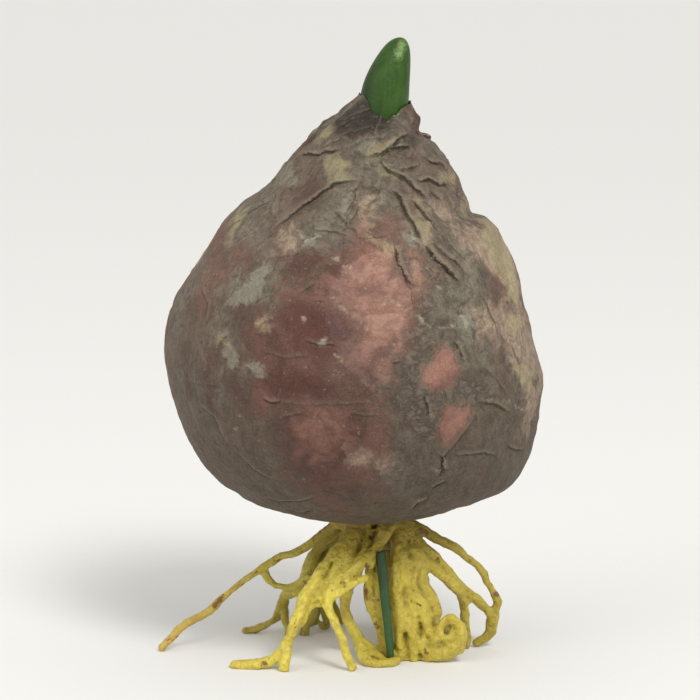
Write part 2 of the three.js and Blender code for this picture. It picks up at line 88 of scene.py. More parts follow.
# Creases: (path, depth of the dark valley, height of the pale ridge on its upper side, overlap), in mm.
# An overlap is how far the skin on the upper side lies over the skin on the lower side.
CREASES = [
    ([(299, 155), (310, 153), (321, 150), (340, 149)], 0.40, 0.20, 0.10),
    ([(356, 179), (336, 183), (319, 194), (300, 209), (281, 222), (274, 230)], 0.40, 0.25, 0.10),
    ([(320, 194), (304, 204), (290, 213), (281, 223)], 0.20, 0.15, 0.0),
    ([(241, 214), (255, 206), (273, 198)], 0.20, 0.15, 0.0),
    ([(364, 158), (381, 153), (397, 141), (411, 132)], 0.35, 0.25, 0.40),
    ([(385, 148), (396, 146), (408, 149)], 0.40, 0.15, 0.15),
    ([(379, 158), (390, 169), (403, 177), (414, 190), (429, 201)], 0.40, 0.28, 0.20),
    ([(429, 193), (436, 197), (443, 202)], 0.25, 0.15, 0.0),
    ([(426, 160), (432, 163), (440, 163)], 0.50, 0.15, 0.0),
    ([(399, 170), (408, 169), (418, 167)], 0.25, 0.15, 0.0),
    ([(414, 183), (426, 182), (437, 185), (451, 182)], 0.45, 0.28, 0.15),
    ([(391, 187), (401, 199), (409, 216), (416, 231), (424, 244)], 0.40, 0.35, 0.15),
    ([(410, 201), (420, 209), (429, 221), (435, 232)], 0.40, 0.35, 0.0),
    ([(424, 244), (434, 256), (446, 267), (461, 283)], 0.60, 0.30, 0.15),
    ([(432, 243), (441, 252), (454, 261), (465, 271)], 0.30, 0.20, 0.0),
    ([(447, 244), (456, 252), (468, 262)], 0.20, 0.15, 0.0),
    ([(394, 244), (399, 262), (405, 274), (413, 287)], 0.50, 0.10, 0.10),
    ([(309, 231), (322, 229), (336, 230), (350, 234)], 0.20, 0.12, 0.0),
    ([(352, 235), (366, 238), (384, 236), (396, 243)], 0.12, 0.10, 0.0),
    ([(273, 401), (293, 405), (314, 406), (339, 405), (373, 403)], 0.10, 0.02, 0.0),
    ([(352, 361), (362, 370), (375, 379), (388, 387)], 0.30, 0.15, 0.0),
    ([(387, 368), (394, 364), (402, 362)], 0.25, 0.10, 0.0),
    ([(375, 257), (386, 255), (396, 258)], 0.30, 0.20, 0.0),
    ([(372, 252), (380, 248), (390, 247)], 0.20, 0.15, 0.0),
    ([(455, 340), (461, 350), (465, 362)], 0.35, 0.10, 0.0),
    ([(424, 394), (427, 408), (430, 420)], 0.30, 0.10, 0.0),
    ([(252, 303), (263, 297), (275, 294)], 0.12, 0.08, 0.0),
    ([(296, 294), (306, 289), (316, 282)], 0.15, 0.10, 0.0),
    ([(476, 402), (494, 404), (511, 413)], 0.35, 0.30, 0.10),
    ([(454, 456), (474, 455), (486, 454), (497, 457)], 0.30, 0.20, 0.0),
    ([(508, 447), (516, 451), (524, 450)], 0.28, 0.20, 0.0),
    ([(474, 420), (461, 437), (450, 451)], 0.28, 0.10, 0.10),
    ([(450, 452), (443, 459), (444, 470), (439, 479)], 0.50, 0.15, 0.0),
    ([(431, 489), (439, 486), (447, 482)], 0.45, 0.15, 0.0),
    ([(411, 510), (418, 503), (429, 498)], 0.42, 0.20, 0.0),
    ([(265, 497), (280, 502), (299, 503), (316, 499)], 0.40, 0.12, 0.0),
    ([(288, 509), (301, 512), (314, 511)], 0.35, 0.12, 0.0),
    ([(186, 380), (204, 385), (222, 387)], 0.08, 0.18, 0.0),
    ([(261, 398), (270, 403), (281, 402)], 0.35, 0.08, 0.0),
    ([(278, 421), (290, 416), (306, 415)], 0.14, 0.10, 0.0),
    ([(350, 414), (366, 417), (384, 415)], 0.14, 0.08, 0.0),
    ([(310, 300), (332, 303), (352, 300), (371, 304)], 0.20, 0.10, 0.0),
    ([(318, 312), (340, 309), (362, 313), (392, 309)], 0.20, 0.10, 0.0),
    ([(330, 324), (352, 321), (380, 326)], 0.20, 0.10, 0.0),
    ([(302, 340), (322, 346), (348, 342)], 0.20, 0.08, 0.0),
    ([(262, 352), (284, 358), (309, 356)], 0.12, 0.08, 0.0),
    ([(358, 116), (372, 119), (388, 120), (402, 118)], 0.12, 0.12, 0.0),
    ([(330, 140), (350, 131), (372, 127), (397, 128)], 0.15, 0.15, 0.0),
    ([(345, 146), (365, 140), (388, 138)], 0.14, 0.12, 0.0),
    ([(318, 148), (331, 141), (342, 138)], 0.18, 0.15, 0.0),
    ([(336, 120), (350, 113), (362, 111)], 0.15, 0.12, 0.0),
    ([(488, 300), (497, 322), (500, 345)], 0.25, 0.20, 0.0),
    ([(512, 340), (520, 365), (516, 392)], 0.25, 0.20, 0.0),
    ([(482, 366), (496, 380), (507, 399)], 0.14, 0.12, 0.0),
    ([(200, 286), (207, 304), (204, 322)], 0.20, 0.15, 0.0),
    ([(196, 402), (214, 418), (226, 441)], 0.20, 0.15, 0.0),
    ([(236, 452), (252, 470), (272, 482)], 0.20, 0.15, 0.0),
]
VALLEY_WIDTH = 0.36 * MM
VALLEY_BELOW = 0.08 * MM  # the valley lies this far below the edge of the skin above it
VALLEY_SHARE = 0.8  # how much of a valley's depth the mesh has, and the rest is in the finish
FULL_DEPTH = 0.45  # mm, and a valley this deep is drawn as dark as any
EDGE_WIDTH = 0.3 * MM  # the step up to the skin above it
FOLD_REACH = 0.9 * MM  # a ridge falls away over this
OVERLAP_REACH = 3.0 * MM
CREASE_REACH = 3 * OVERLAP_REACH
COARSER_ASIDE = 0.45  # creases are broader by this share at the sides, where the mesh is coarser
TAPER_RATE, TAPER_POWER = 5, 0.7  # a crease fades out over a fifth of its length at each end

# Fine creases run down from the neck all round. Their lengths and depths are in mm, and angles in radians.
GATHER_SEED = 5
GATHER_COUNT = 90
GATHER_POINTS = 5
GATHER_TOP = 2  # below the end of the skin
GATHER_STARTS = 0, 19  # below that
GATHER_LENGTHS = 3, 9
GATHER_DRIFT = 0.35
GATHER_WANDER = 0.03
GATHER_DEPTHS = 0.08, 0.19
GATHER_RIDGE = 0.6  # a ridge's height as a share of its valley's depth

# Patches of the skin by what they look like.
WORN = [  # the outer layers have worn off, so that the wine-red flesh shows through
    [
        (394, 236), (399, 262), (410, 290), (415, 314), (409, 337), (399, 350), (394, 364), (392, 391),
        (398, 420), (388, 450), (380, 478), (366, 500), (340, 508), (310, 500), (286, 470), (268, 420),
        (250, 370), (256, 330), (272, 300), (300, 262), (330, 240), (362, 228), (380, 222),
    ],
    [(232, 246), (250, 240), (262, 252), (252, 268), (236, 270), (226, 262)],
    [(184, 300), (198, 286), (212, 296), (206, 318), (190, 322)],
    [(486, 262), (498, 270), (512, 292), (512, 310), (498, 306), (488, 288)],
    [(205, 236), (222, 228), (234, 240), (232, 276), (218, 292), (206, 280)],
    [(492, 340), (506, 344), (512, 366), (508, 384), (498, 376), (494, 356)],
]
ROSY = [  # the reddest of it, with soft edges
    [
        (372, 240), (384, 240), (391, 246), (396, 262), (406, 286), (412, 300), (412, 318), (406, 332),
        (399, 346), (393, 362), (389, 378), (376, 380), (358, 372), (349, 360), (353, 346), (360, 330),
        (344, 312), (316, 300), (322, 286), (338, 270), (352, 252),
    ],
    [(302, 418), (330, 412), (344, 418), (346, 436), (334, 454), (317, 459), (305, 446), (297, 430)],
]
BLUSH = [  # the palest of that
    [
        (352, 298), (366, 290), (384, 294), (400, 300), (412, 302), (411, 320), (402, 336), (388, 344),
        (370, 342), (362, 328), (352, 314),
    ],
    [
        (375, 254), (386, 252), (391, 264), (397, 284), (393, 295), (378, 290), (362, 285), (357, 275),
        (364, 263),
    ],
    [(408, 256), (416, 254), (425, 268), (425, 285), (416, 292), (408, 281)],
    [(362, 212), (371, 212), (373, 224), (363, 226)],
    [(384, 216), (392, 218), (393, 231), (385, 233)],
]
MAROON = [  # dark wine-red
    [
        (288, 302), (304, 300), (318, 304), (334, 311), (349, 318), (354, 330), (345, 343), (322, 356),
        (300, 352), (286, 332),
    ],
    [(262, 380), (286, 374), (316, 376), (330, 388), (318, 398), (284, 398)],
    [(288, 252), (306, 248), (318, 260), (310, 274), (292, 272)],
    [(408, 103), (414, 104), (418, 112), (412, 115), (407, 110)],
    [(413, 115), (419, 117), (425, 128), (421, 133), (415, 127)],
]
SALMON = [  # bare flesh in the small tears
    [(440, 345), (454, 349), (461, 369), (452, 384), (434, 392), (422, 381), (422, 371), (431, 362)],
    [
        (446, 406), (469, 406), (472, 414), (464, 427), (455, 440), (445, 445), (438, 434), (438, 423),
    ],
]
HOLES = [  # torn right through
    [
        (391, 240), (397, 260), (410, 287), (415, 314), (409, 337), (400, 350), (394, 364), (392, 388),
        (376, 388), (352, 380), (338, 356), (330, 330), (322, 304), (334, 280), (352, 262), (376, 248),
    ],
    [(409, 260), (415, 258), (422, 270), (422, 283), (415, 287), (410, 276)],
    [(441, 347), (453, 350), (459, 369), (450, 382), (434, 390), (424, 380), (424, 371), (432, 363)],
    [
        (449, 407), (468, 407), (470, 414), (463, 426), (454, 438), (445, 443), (440, 434), (440, 423),
    ],
]
# Along here the edge of a tear clings to the flesh, so that no step shows.
CLINGING_EDGES = [
    [
        (391, 238), (376, 248), (352, 262), (334, 280), (322, 304), (330, 330), (338, 356), (352, 380),
        (376, 388), (388, 390),
    ],
    [(430, 356), (424, 380), (434, 390), (450, 382), (459, 369), (452, 350), (441, 348)],
    [(446, 410), (440, 434), (446, 442), (454, 438), (463, 426), (470, 414), (466, 407)],
    [(415, 314), (409, 337), (400, 350), (394, 364), (392, 388)],
    [(422, 270), (422, 283)],
]
CLINGING_REACH = 3.2 * MM
PLUM = [  # wine-brown
    [(228, 306), (246, 302), (268, 308), (284, 316), (276, 330), (250, 322), (232, 324)],
    [(226, 374), (252, 380), (284, 388), (300, 399), (280, 408), (262, 418), (238, 410), (226, 392)],
    [(400, 400), (416, 398), (425, 418), (416, 436), (402, 428)],
    [(275, 396), (300, 408), (356, 408), (372, 430), (362, 470), (330, 492), (292, 480), (268, 440)],
    [(232, 300), (262, 312), (300, 300), (322, 320), (326, 372), (300, 396), (262, 392), (244, 352)],
    [(310, 166), (326, 184), (318, 200), (296, 208), (294, 190)],
    [(470, 218), (481, 218), (482, 228), (472, 228)],
    [(498, 300), (514, 306), (512, 322), (498, 318)],
    [(268, 240), (300, 246), (314, 262), (300, 282), (272, 272)],
    [(180, 350), (188, 350), (196, 396), (188, 398)],
    [(206, 352), (212, 352), (214, 410), (206, 408)],
    [(539, 400), (541, 400), (539, 420), (534, 442), (532, 442), (537, 420)],
]
SAGE = [  # grey-green, quite smooth
    [(258, 262), (266, 268), (265, 287), (250, 302), (231, 307), (225, 303), (231, 293), (248, 281)],
    [(300, 235), (316, 236), (314, 244), (302, 243)],
    [(280, 166), (292, 160), (296, 176), (286, 186)],
    [(344, 192), (350, 198), (349, 214), (343, 222), (341, 206)],
    [(459, 317), (466, 312), (475, 311), (475, 326), (470, 344), (463, 346), (459, 332)],
    [(222, 345), (230, 346), (238, 356), (239, 367), (230, 369), (224, 358)],
    [(246, 362), (258, 363), (266, 371), (268, 378), (260, 377), (248, 370)],
    [(402, 232), (414, 236), (414, 246), (404, 246)],
    [(356, 140), (372, 138), (376, 148), (362, 154)],
]
KHAKI = [  # yellowish grey
    [(326, 156), (338, 155), (347, 164), (345, 178), (333, 184), (327, 172)],
    [(319, 133), (330, 123), (334, 126), (322, 136)],
    [(226, 240), (232, 222), (240, 209), (244, 214), (236, 228), (231, 240)],
    [(254, 322), (264, 320), (268, 328), (257, 330)],
    [(412, 222), (420, 219), (430, 230), (433, 240), (424, 243), (416, 234)],
    [(440, 176), (453, 174), (454, 182), (442, 183)],
    [(368, 152), (386, 142), (398, 136), (400, 141), (384, 152), (370, 157)],
    [
        (478, 214), (490, 220), (505, 242), (513, 266), (522, 300), (513, 300), (504, 282), (494, 262),
        (480, 232),
    ],
    [(511, 316), (520, 318), (522, 328), (512, 328)],
    [(514, 368), (532, 366), (535, 382), (518, 382)],
    [(216, 335), (222, 337), (223, 342), (218, 342)],
    [(462, 202), (470, 200), (468, 208), (462, 207)],
    [(380, 162), (390, 168), (400, 175), (396, 178), (386, 171)],
    [(416, 199), (428, 210), (426, 214), (414, 204)],
    [(374, 238), (386, 240), (396, 250), (384, 250)],
]
FADED = [  # pale pinkish tan
    [(458, 222), (474, 224), (486, 238), (498, 262), (488, 272), (472, 254), (460, 240)],
    [
        (476, 310), (500, 304), (522, 308), (532, 334), (539, 366), (541, 384), (522, 378), (508, 354),
        (498, 338), (482, 330),
    ],
    [(522, 382), (540, 382), (537, 402), (528, 438), (521, 434), (526, 408)],
    [(434, 206), (452, 208), (458, 218), (444, 222)],
    [(492, 224), (507, 244), (515, 270), (523, 300), (512, 300), (502, 270)],
    [(280, 233), (294, 229), (303, 236), (299, 248), (285, 250)],
    [(348, 459), (366, 456), (388, 459), (390, 464), (372, 466), (350, 464)],
    [(362, 200), (371, 196), (380, 206), (386, 219), (376, 227), (364, 217)],
]
ASH = [  # grey, crinkled and speckled
    [
        (418, 326), (430, 330), (436, 350), (424, 362), (416, 380), (426, 392), (440, 402), (434, 420),
        (436, 444), (418, 440), (408, 418), (398, 392), (400, 366), (408, 348),
    ],
    [(422, 262), (438, 268), (450, 284), (440, 290), (426, 284)],
    [(444, 326), (462, 330), (471, 336), (464, 344), (440, 334)],
    [(456, 372), (478, 380), (498, 400), (480, 404), (460, 396), (452, 388)],
    [(352, 108), (388, 118), (398, 126), (380, 132), (350, 126), (336, 128)],
    [(397, 244), (405, 246), (409, 258), (410, 282), (404, 270), (399, 257)],
    [(416, 294), (426, 290), (434, 300), (430, 330), (416, 332), (418, 312)],
]
SOOTY = [  # nearly black
    [
        (346, 106), (357, 99), (368, 101), (378, 107), (389, 116), (391, 125), (378, 132), (358, 136),
        (338, 134), (334, 122),
    ],
    [(404, 142), (412, 134), (418, 140), (408, 150), (398, 152)],
]
PATCHES = {  # every kind but the holes
    "worn": WORN,
    "rosy": ROSY,
    "blush": BLUSH,
    "maroon": MAROON,
    "salmon": SALMON,
    "plum": PLUM,
    "sage": SAGE,
    "khaki": KHAKI,
    "faded": FADED,
    "ash": ASH,
    "sooty": SOOTY,
}
# Pale scuffs and flecks, and one painted highlight: path and width, in pixels.
SCUFFS_AND_GLINT = [
    ([(320, 346), (322, 342), (325, 339)], 2.4),
    ([(319, 342), (325, 345)], 1.8),
    ([(333, 299), (338, 305), (346, 311)], 2.0),
    ([(302, 317), (304, 319)], 2.4),
    ([(305, 240), (312, 237), (318, 236)], 2.6),
    ([(332, 257), (338, 259)], 2.6),
    ([(343, 266), (350, 267)], 1.8),
    ([(439, 287), (441, 288)], 2.4),
    ([(419, 316), (425, 323), (431, 327)], 1.8),
    ([(441, 327), (449, 327), (456, 325)], 2.2),
    ([(411, 231), (414, 238), (418, 243)], 3.0),
    ([(459, 315), (466, 318), (468, 326)], 3.0),
    # A painted highlight along a fold of the bare flesh.
    ([(384, 302), (396, 303), (407, 308)], 1.6),
    ([(334, 355), (342, 361)], 1.4),
    ([(366, 104), (371, 107), (375, 109)], 1.8),
    ([(383, 112), (388, 114)], 2.0),
    ([(398, 116), (403, 114)], 2.2),
    ([(470, 222), (475, 226)], 2.0),
    ([(500, 262), (504, 270)], 2.0),
    ([(496, 400), (510, 402), (522, 410)], 1.6),
    ([(234, 429), (238, 428)], 1.4),
    ([(239, 417), (242, 417)], 1.3),
    ([(300, 479), (303, 480)], 1.7),
    ([(418, 500), (426, 497)], 1.4),
    ([(434, 470), (437, 472)], 1.8),
    ([(510, 284), (514, 290)], 2.4),
    ([(514, 340), (520, 346)], 2.4),
]
# On the shoot: a painted highlight near its tip and a nick darkened with painted shade, as path and width.
TIP_HIGHLIGHT = [(403, 43), (401, 49), (399, 55)], 4.6
NICK = [(394, 57), (397, 59), (401, 58)], 1.4
# Root strands that lie over the thick roots: path in pixels, and radius at both ends in mm.
STRANDS = [
    ([(397, 544), (401, 566), (409, 590), (420, 612), (430, 630), (427, 645), (413, 653)], 0.75, 0.60),
    ([(414, 546), (422, 570), (431, 594), (437, 616), (433, 637), (424, 650)], 0.80, 0.70),
    ([(405, 550), (399, 578), (397, 606), (402, 630), (399, 650)], 0.70, 0.55),
    ([(421, 548), (413, 574), (415, 602), (425, 628), (441, 642)], 0.70, 0.55),
    ([(396, 596), (403, 616), (411, 636), (424, 651)], 0.60, 0.50),
    ([(410, 560), (406, 590), (412, 618), (419, 645), (430, 654)], 0.60, 0.55),
    ([(353, 530), (347, 548), (337, 566), (328, 582)], 0.65, 0.50),
    ([(372, 541), (361, 556), (350, 574), (342, 594)], 0.70, 0.60),
    ([(362, 562), (350, 572), (336, 580), (322, 600)], 0.60, 0.50),
    ([(430, 640), (440, 644), (452, 646)], 0.65, 0.55),
    (
        [
            (432, 652), (446, 653), (459, 648), (464, 636), (461, 624), (451, 618), (442, 623), (440, 634),
            (446, 641), (454, 638), (455, 630),
        ],
        0.72, 0.60,
    ),
]
# And those behind the stick.
STRANDS_BEHIND = [
    ([(386, 552), (388, 578), (390, 604), (393, 632), (396, 652)], 1.15, 0.95),
    ([(377, 552), (379, 578), (381, 604), (384, 632), (388, 652)], 0.95, 0.85),
]
STRAND_BEHIND = 3.4 * MM  # this far behind the roots' front
# Brown specks on the roots, as path and width in pixels.
SPECKS = [
    ([(422, 531), (427, 532)], 4.5),
    ([(370, 536), (371, 539)], 2.5),
    ([(365, 591), (367, 597)], 4.0),
    ([(215, 606), (222, 597)], 3.6),
    ([(276, 561), (279, 560)], 2.2),
    ([(261, 664), (265, 663)], 3.4),
    ([(342, 584), (344, 585)], 3.2),
    ([(472, 607), (474, 609)], 3.0),
    ([(496, 593), (497, 595)], 3.0),
    ([(425, 650), (427, 652)], 3.4),
    ([(376, 624), (377, 627)], 2.8),
    ([(406, 540), (409, 542)], 2.6),
    ([(437, 559), (438, 561)], 2.4),
    ([(418, 604), (420, 605)], 2.2),
    ([(421, 610), (422, 611)], 2.0),
    ([(305, 582), (306, 583)], 2.2),
    ([(242, 585), (243, 586)], 2.0),
    ([(366, 565), (369, 567)], 2.2),
    ([(318, 616), (319, 618)], 2.0),
]
PATCH_REACH = 5 * MM  # a patch's edge is felt this far away

# The sides and the back, which the photograph doesn't show, carry the same kinds of marks, turned round the
# bulb, mirrored where the number is -1, and moved up by some mm.
UNSEEN_SIDES = [
    (math.radians(112), -1, 1.5),
    (math.radians(196), 1, -2.5),
    (math.radians(262), -1, 2.5),
]
UNSEEN_CREASES = 0.9  # their depth as a share of the front's
SEEN = math.radians(70), math.radians(92)  # they fade in between these angles from the front
BORDER_WAVES = [(0.10, 3.1 * MM, 0), (0.07, 1.3 * MM, 2)]  # of that border: size, length and slant
POLE_ROOM = 6 * MM  # they keep this far from the pole under the bulb
NECK_END_ROOM = 1 * MM  # and this far from the end of the neck
MOSTLY_FRONT = {  # these patches are smaller on the unseen sides
    "worn": 2.2 * MM,
    "rosy": 2.2 * MM,
    "blush": 2.4 * MM,
    "salmon": 1.6 * MM,
    "khaki": 0.9 * MM,
    "faded": 1.9 * MM,
    "sooty": 1.2 * MM,
}

# ---- The bulb's shape, read off the CAD ----

SAMPLE = 0.25 * MM
SMOOTHING = 0.9 * MM
OUTSIDE = 10 * MM  # the rays that read the outline start this far outside
# Near the pole under the bulb the outline is read from below, at radii from the first to before the second
# of these, by steps of the third, in mm.
POLE_RADII = 8.0, 19.0, 1.0
POLE_SHIFT = 0.9 * MM  # the pole lies this far to the right of the tunic's middle
POLE_DIP = 0.25 * MM  # and this far below the first radius
TUNIC_FOOT = 11.6 * MM  # nearer the pole than this the flesh is read
FLESH_ABOVE = 0.9 * MM  # which lies this far above the skin
# Higher up it is read from both sides.
ROW_STEP = 1.0 * MM
FIRST_ROW = 1.2 * MM  # above the last radius
RAGGED_RIM = 2.4 * MM  # the top of the tunic, which isn't read
END_ABOVE = 0.2 * MM  # the skin's last row lies this far above the tunic
NECK_MIDDLE = 5.3 * MM  # where the skin closes round the shoot
RIM_BEGINS = 82.5 * MM  # above this the skin closes round the shoot
NECK_ROOM = 0.75 * MM  # between the shoot and the outside of the skin, some way below the rim
SHOOT_ROOM = 0.12 * MM  # and at the rim
RIM_REACH = 1.8 * MM
SHOOT_DEPTH_SHARE = 0.9  # the shoot's depth, front to back, as a share of its width

# Where the outline seen from the front stands out from the CAD's or falls short of it: the azimuth of its
# side, height, spread of height and how far, in mm.
TRIMS = [
    (0.0, 84.6, 0.9, 0.3),
    (0.0, 81.1, 0.9, -1.2),
    (0.0, 76.0, 2.6, 0.55),
    (0.0, 68.9, 1.0, -1.0),
    (0.0, 66.2, 1.2, 0.25),
    (0.0, 54.7, 2.2, -0.5),
    (0.0, 43.8, 3.2, 0.6),
    (0.0, 26.7, 2.4, 0.7),
    (math.pi, 85.7, 0.9, 0.5),
    (math.pi, 83.4, 0.9, -0.4),
    (math.pi, 80.6, 1.4, -0.3),
    (math.pi, 72.6, 2.4, -0.6),
]
FRONT = -math.pi / 2  # azimuths turn from +X towards +Y


def cad_surface(*names):
    """The faces of some CAD nodes, for rays."""
    points, faces = [], []
    for name in names:
        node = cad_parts[name]
        start = len(points)
        points += [node.matrix_world @ vertex.co for vertex in node.data.vertices]
        faces += [[start + corner for corner in face.vertices] for face in node.data.polygons]
    return BVHTree.FromPolygons(points, faces)


def outline_rows():
    """The skin's outline from the pole under the bulb to its neck: middle in x, half width and height."""
    low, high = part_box("tunic")
    tunic = cad_surface("tunic")
    flesh = cad_surface("bulb")
    up = Vector((0, 0, 1))
    middle_below = (low.x + high.x) / 2 + POLE_SHIFT
    rows = []
    for radius in np.arange(*POLE_RADII) * MM:
        heights = []
        for side in (-1, 1):
            start = Vector((middle_below + side * radius, 0, low.z - OUTSIDE))
            hit = tunic.ray_cast(start, up)[0] if radius > TUNIC_FOOT else None
            if hit is None:
                hit = flesh.ray_cast(start, up)[0] - FLESH_ABOVE * up
            heights.append(hit.z)
        rows.append((middle_below, radius, sum(heights) / 2))
    rows.insert(0, (middle_below, 0.0, rows[0][2] - POLE_DIP))
    for height in np.arange(rows[-1][2] + FIRST_ROW, high.z - RAGGED_RIM, ROW_STEP):
        left = tunic.ray_cast(Vector((low.x - OUTSIDE, 0, height)), Vector((1, 0, 0)))[0]
        right = tunic.ray_cast(Vector((high.x + OUTSIDE, 0, height)), Vector((-1, 0, 0)))[0]
        rows.append(((left.x + right.x) / 2, (right.x - left.x) / 2, height))
    shoot_low, shoot_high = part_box("shoot")
    rows.append((NECK_MIDDLE, (shoot_high.y - shoot_low.y) / 2 + NECK_ROOM, high.z + END_ABOVE))
    return np.array(rows)


def read_outline():
    """The outline in even steps and smoothed, with its arc from the pole before the three."""
    rows = outline_rows()
    arc = np.concatenate([[0], np.cumsum(np.hypot(np.diff(rows[:, 1]), np.diff(rows[:, 2])))])
    even = np.arange(0, arc[-1], SAMPLE)
    outline = np.stack([even, *(np.interp(even, arc, rows[:, k]) for k in range(3))])
    reach = int(3 * SMOOTHING / SAMPLE)
    weights = np.exp(-0.5 * (np.arange(-reach, reach + 1) * SAMPLE / SMOOTHING) ** 2)
    weights /= weights.sum()
    for k in (1, 2, 3):
        values = outline[k]
        before = 2 * values[0] - values[reach:0:-1] if k == 2 else values[reach:0:-1]
        after = 2 * values[-1] - values[-2 : -reach - 2 : -1]
        outline[k] = np.convolve(np.concatenate([before, values, after]), weights, "valid")
    return outline


ARC, MIDDLE, HALF, HEIGHT = read_outline()
TUNIC_LOW, TUNIC_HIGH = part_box("tunic")
DEPTH_SHARE = (TUNIC_HIGH.y - TUNIC_LOW.y) / (TUNIC_HIGH.x - TUNIC_LOW.x)
RISE = np.gradient(HEIGHT, ARC)
SPREAD = np.gradient(HALF, ARC)


def skin_points(azimuth, arc, out=0.0):
    """Points on the smooth skin, moved outwards by some metres."""
    lean = np.hypot(np.interp(arc, ARC, RISE), np.interp(arc, ARC, SPREAD))
    radius = np.interp(arc, ARC, HALF) + out * np.interp(arc, ARC, RISE) / lean
    height = np.interp(arc, ARC, HEIGHT) - out * np.interp(arc, ARC, SPREAD) / lean
    x = np.interp(arc, ARC, MIDDLE) + radius * np.cos(azimuth)
    y = radius * DEPTH_SHARE * np.sin(azimuth)
    return np.stack([x, y, np.broadcast_to(height, x.shape)], axis=-1)


def coarse_skin():
    """The smooth skin as a mesh for rays."""
    turns, steps = 180, 140
    azimuths = np.linspace(-math.pi, math.pi, turns, endpoint=False)
    arcs = np.linspace(ARC[1], ARC[-1], steps)
    points = skin_points(azimuths[None, :], arcs[:, None]).reshape(-1, 3)
    faces = []
    for step in range(steps - 1):
        for turn in range(turns):
            after = (turn + 1) % turns
            low, high = step * turns, (step + 1) * turns
            faces.append((low + turn, low + after, high + after, high + turn))
    return BVHTree.FromPolygons([Vector(point) for point in points], faces)


SKIN = coarse_skin()


def on_skin(pixels):
    """Where the camera's rays through these pixels meet the skin, as rows of azimuth and arc."""
    rows = []
    for pixel in pixels:
        direction = sight(pixel)
        hit = SKIN.ray_cast(EYE, direction)[0]
        if hit is None:
            hit = SKIN.find_nearest(EYE + direction * DISTANCE)[0]
        arc = np.interp(hit.z, HEIGHT, ARC)
        middle = np.interp(arc, ARC, MIDDLE)
        rows.append((math.atan2(hit.y / DEPTH_SHARE, hit.x - middle), arc))
    return np.array(rows)


def wrapped(angle):
    return (angle + math.pi) % (2 * math.pi) - math.pi


def turned(path, turn, mirror, lift):
    """A front path moved round to an unseen side."""
    moved = path.copy()
    moved[:, 0] = wrapped(FRONT + turn + mirror * (path[:, 0] - FRONT))
    moved[:, 1] = np.clip(path[:, 1] + lift * MM, ARC[0] + POLE_ROOM, ARC[-1] - NECK_END_ROOM)
    return moved


FAR = 1.0  # metres, further than any point from any path
MEAN_RADIUS = 20 * MM
TINY = 1e-12
DOWNWARD = 0.2  # a path straight down counts as one that runs to the right


def offsets(chart, path, reach, closed=False):
    """How far each point of the chart is from a path: its distance, the side it lies on (1 is above), and
    how far along the path it is, as a share. Points further than the reach stay far away."""
    azimuth, arc, radius = chart
    distance = np.full(azimuth.shape, FAR, dtype=np.float32)
    side = np.ones(azimuth.shape, dtype=np.float32)
    along = np.zeros(azimuth.shape, dtype=np.float32)
    ends = np.vstack([path, path[:1]]) if closed else path
    lengths = np.hypot(wrapped(np.diff(ends[:, 0])) * MEAN_RADIUS, np.diff(ends[:, 1]))
    total = lengths.sum()
    passed = 0.0
    for (a, b), length in zip(zip(ends, ends[1:]), lengths):
        middle = a[0] + wrapped(b[0] - a[0]) / 2
        span_around = abs(wrapped(b[0] - a[0])) / 2 * radius + reach
        near = abs(arc - (a[1] + b[1]) / 2) < abs(b[1] - a[1]) / 2 + reach
        near &= abs(wrapped(azimuth - middle)) * radius < span_around
        if near.any():
            ax = wrapped(a[0] - azimuth[near]) * radius[near]
            ay = a[1] - arc[near]
            dx = wrapped(b[0] - a[0]) * radius[near]
            dy = np.full(ax.shape, b[1] - a[1])
            share = np.clip(-(ax * dx + ay * dy) / (dx**2 + dy**2 + TINY), 0, 1)
            found = np.hypot(ax + share * dx, ay + share * dy)
            to_right = b[0] - a[0] + DOWNWARD * (a[1] - b[1]) > 0
            above = np.sign(dy * ax - dx * ay) * (1 if to_right else -1)
            closer = found < distance[near]
            spots = np.flatnonzero(near)[closer]
            distance[spots] = found[closer]
            side[spots] = above[closer]
            along[spots] = (passed + share[closer] * length) / total
        passed += length
    return distance, side, along


def inside(chart, path):
    """Which points of the chart lie inside a closed path."""
    azimuth, arc, _ = chart
    middle = path[0, 0]
    x = wrapped(azimuth - middle)
    xs = wrapped(path[:, 0] - middle)
    ys = path[:, 1]
    within = np.zeros(azimuth.shape, dtype=bool)
    for k in range(len(path)):
        x0, y0, x1, y1 = xs[k - 1], ys[k - 1], xs[k], ys[k]
        crosses = (y0 > arc) != (y1 > arc)
        within ^= crosses & (x < (x1 - x0) * (arc - y0) / (y1 - y0 + TINY) + x0)
    return within


def unseen_share(chart):
    """0 where the photograph shows the skin, and 1 where it doesn't, with a wavy border."""
    azimuth, arc, _ = chart
    wavy = sum(size * np.sin(arc / length + slant * azimuth) for size, length, slant in BORDER_WAVES)
    away = np.clip((abs(wrapped(azimuth - FRONT)) + wavy - SEEN[0]) / (SEEN[1] - SEEN[0]), 0, 1)
    return away * away * (3 - 2 * away)


def patch_depths(chart, patches, smaller=0.0, front_only=False):
    """How deep each point of the chart lies inside the nearest of some patches, and below zero outside. On
    the unseen sides they are smaller by some metres all round."""
    depth = np.full(chart[0].shape, -PATCH_REACH, dtype=np.float32)
    seen = 1 - unseen_share(chart)
    for pixels in patches:
        front = on_skin(pixels)
        placed = [(front, 0.0)]
        if not front_only:
            shrink = smaller + 2 * PATCH_REACH * seen
            placed += [(turned(front, *unseen), shrink) for unseen in UNSEEN_SIDES]
        for path, shrink in placed:
            distance = offsets(chart, path, PATCH_REACH, closed=True)[0]
            signed = np.where(inside(chart, path), distance, -distance) - shrink
            depth = np.maximum(depth, np.clip(signed, -PATCH_REACH, PATCH_REACH))
    return depth


STROKE_STEPS = 10  # points for each of its given ones along a stroke


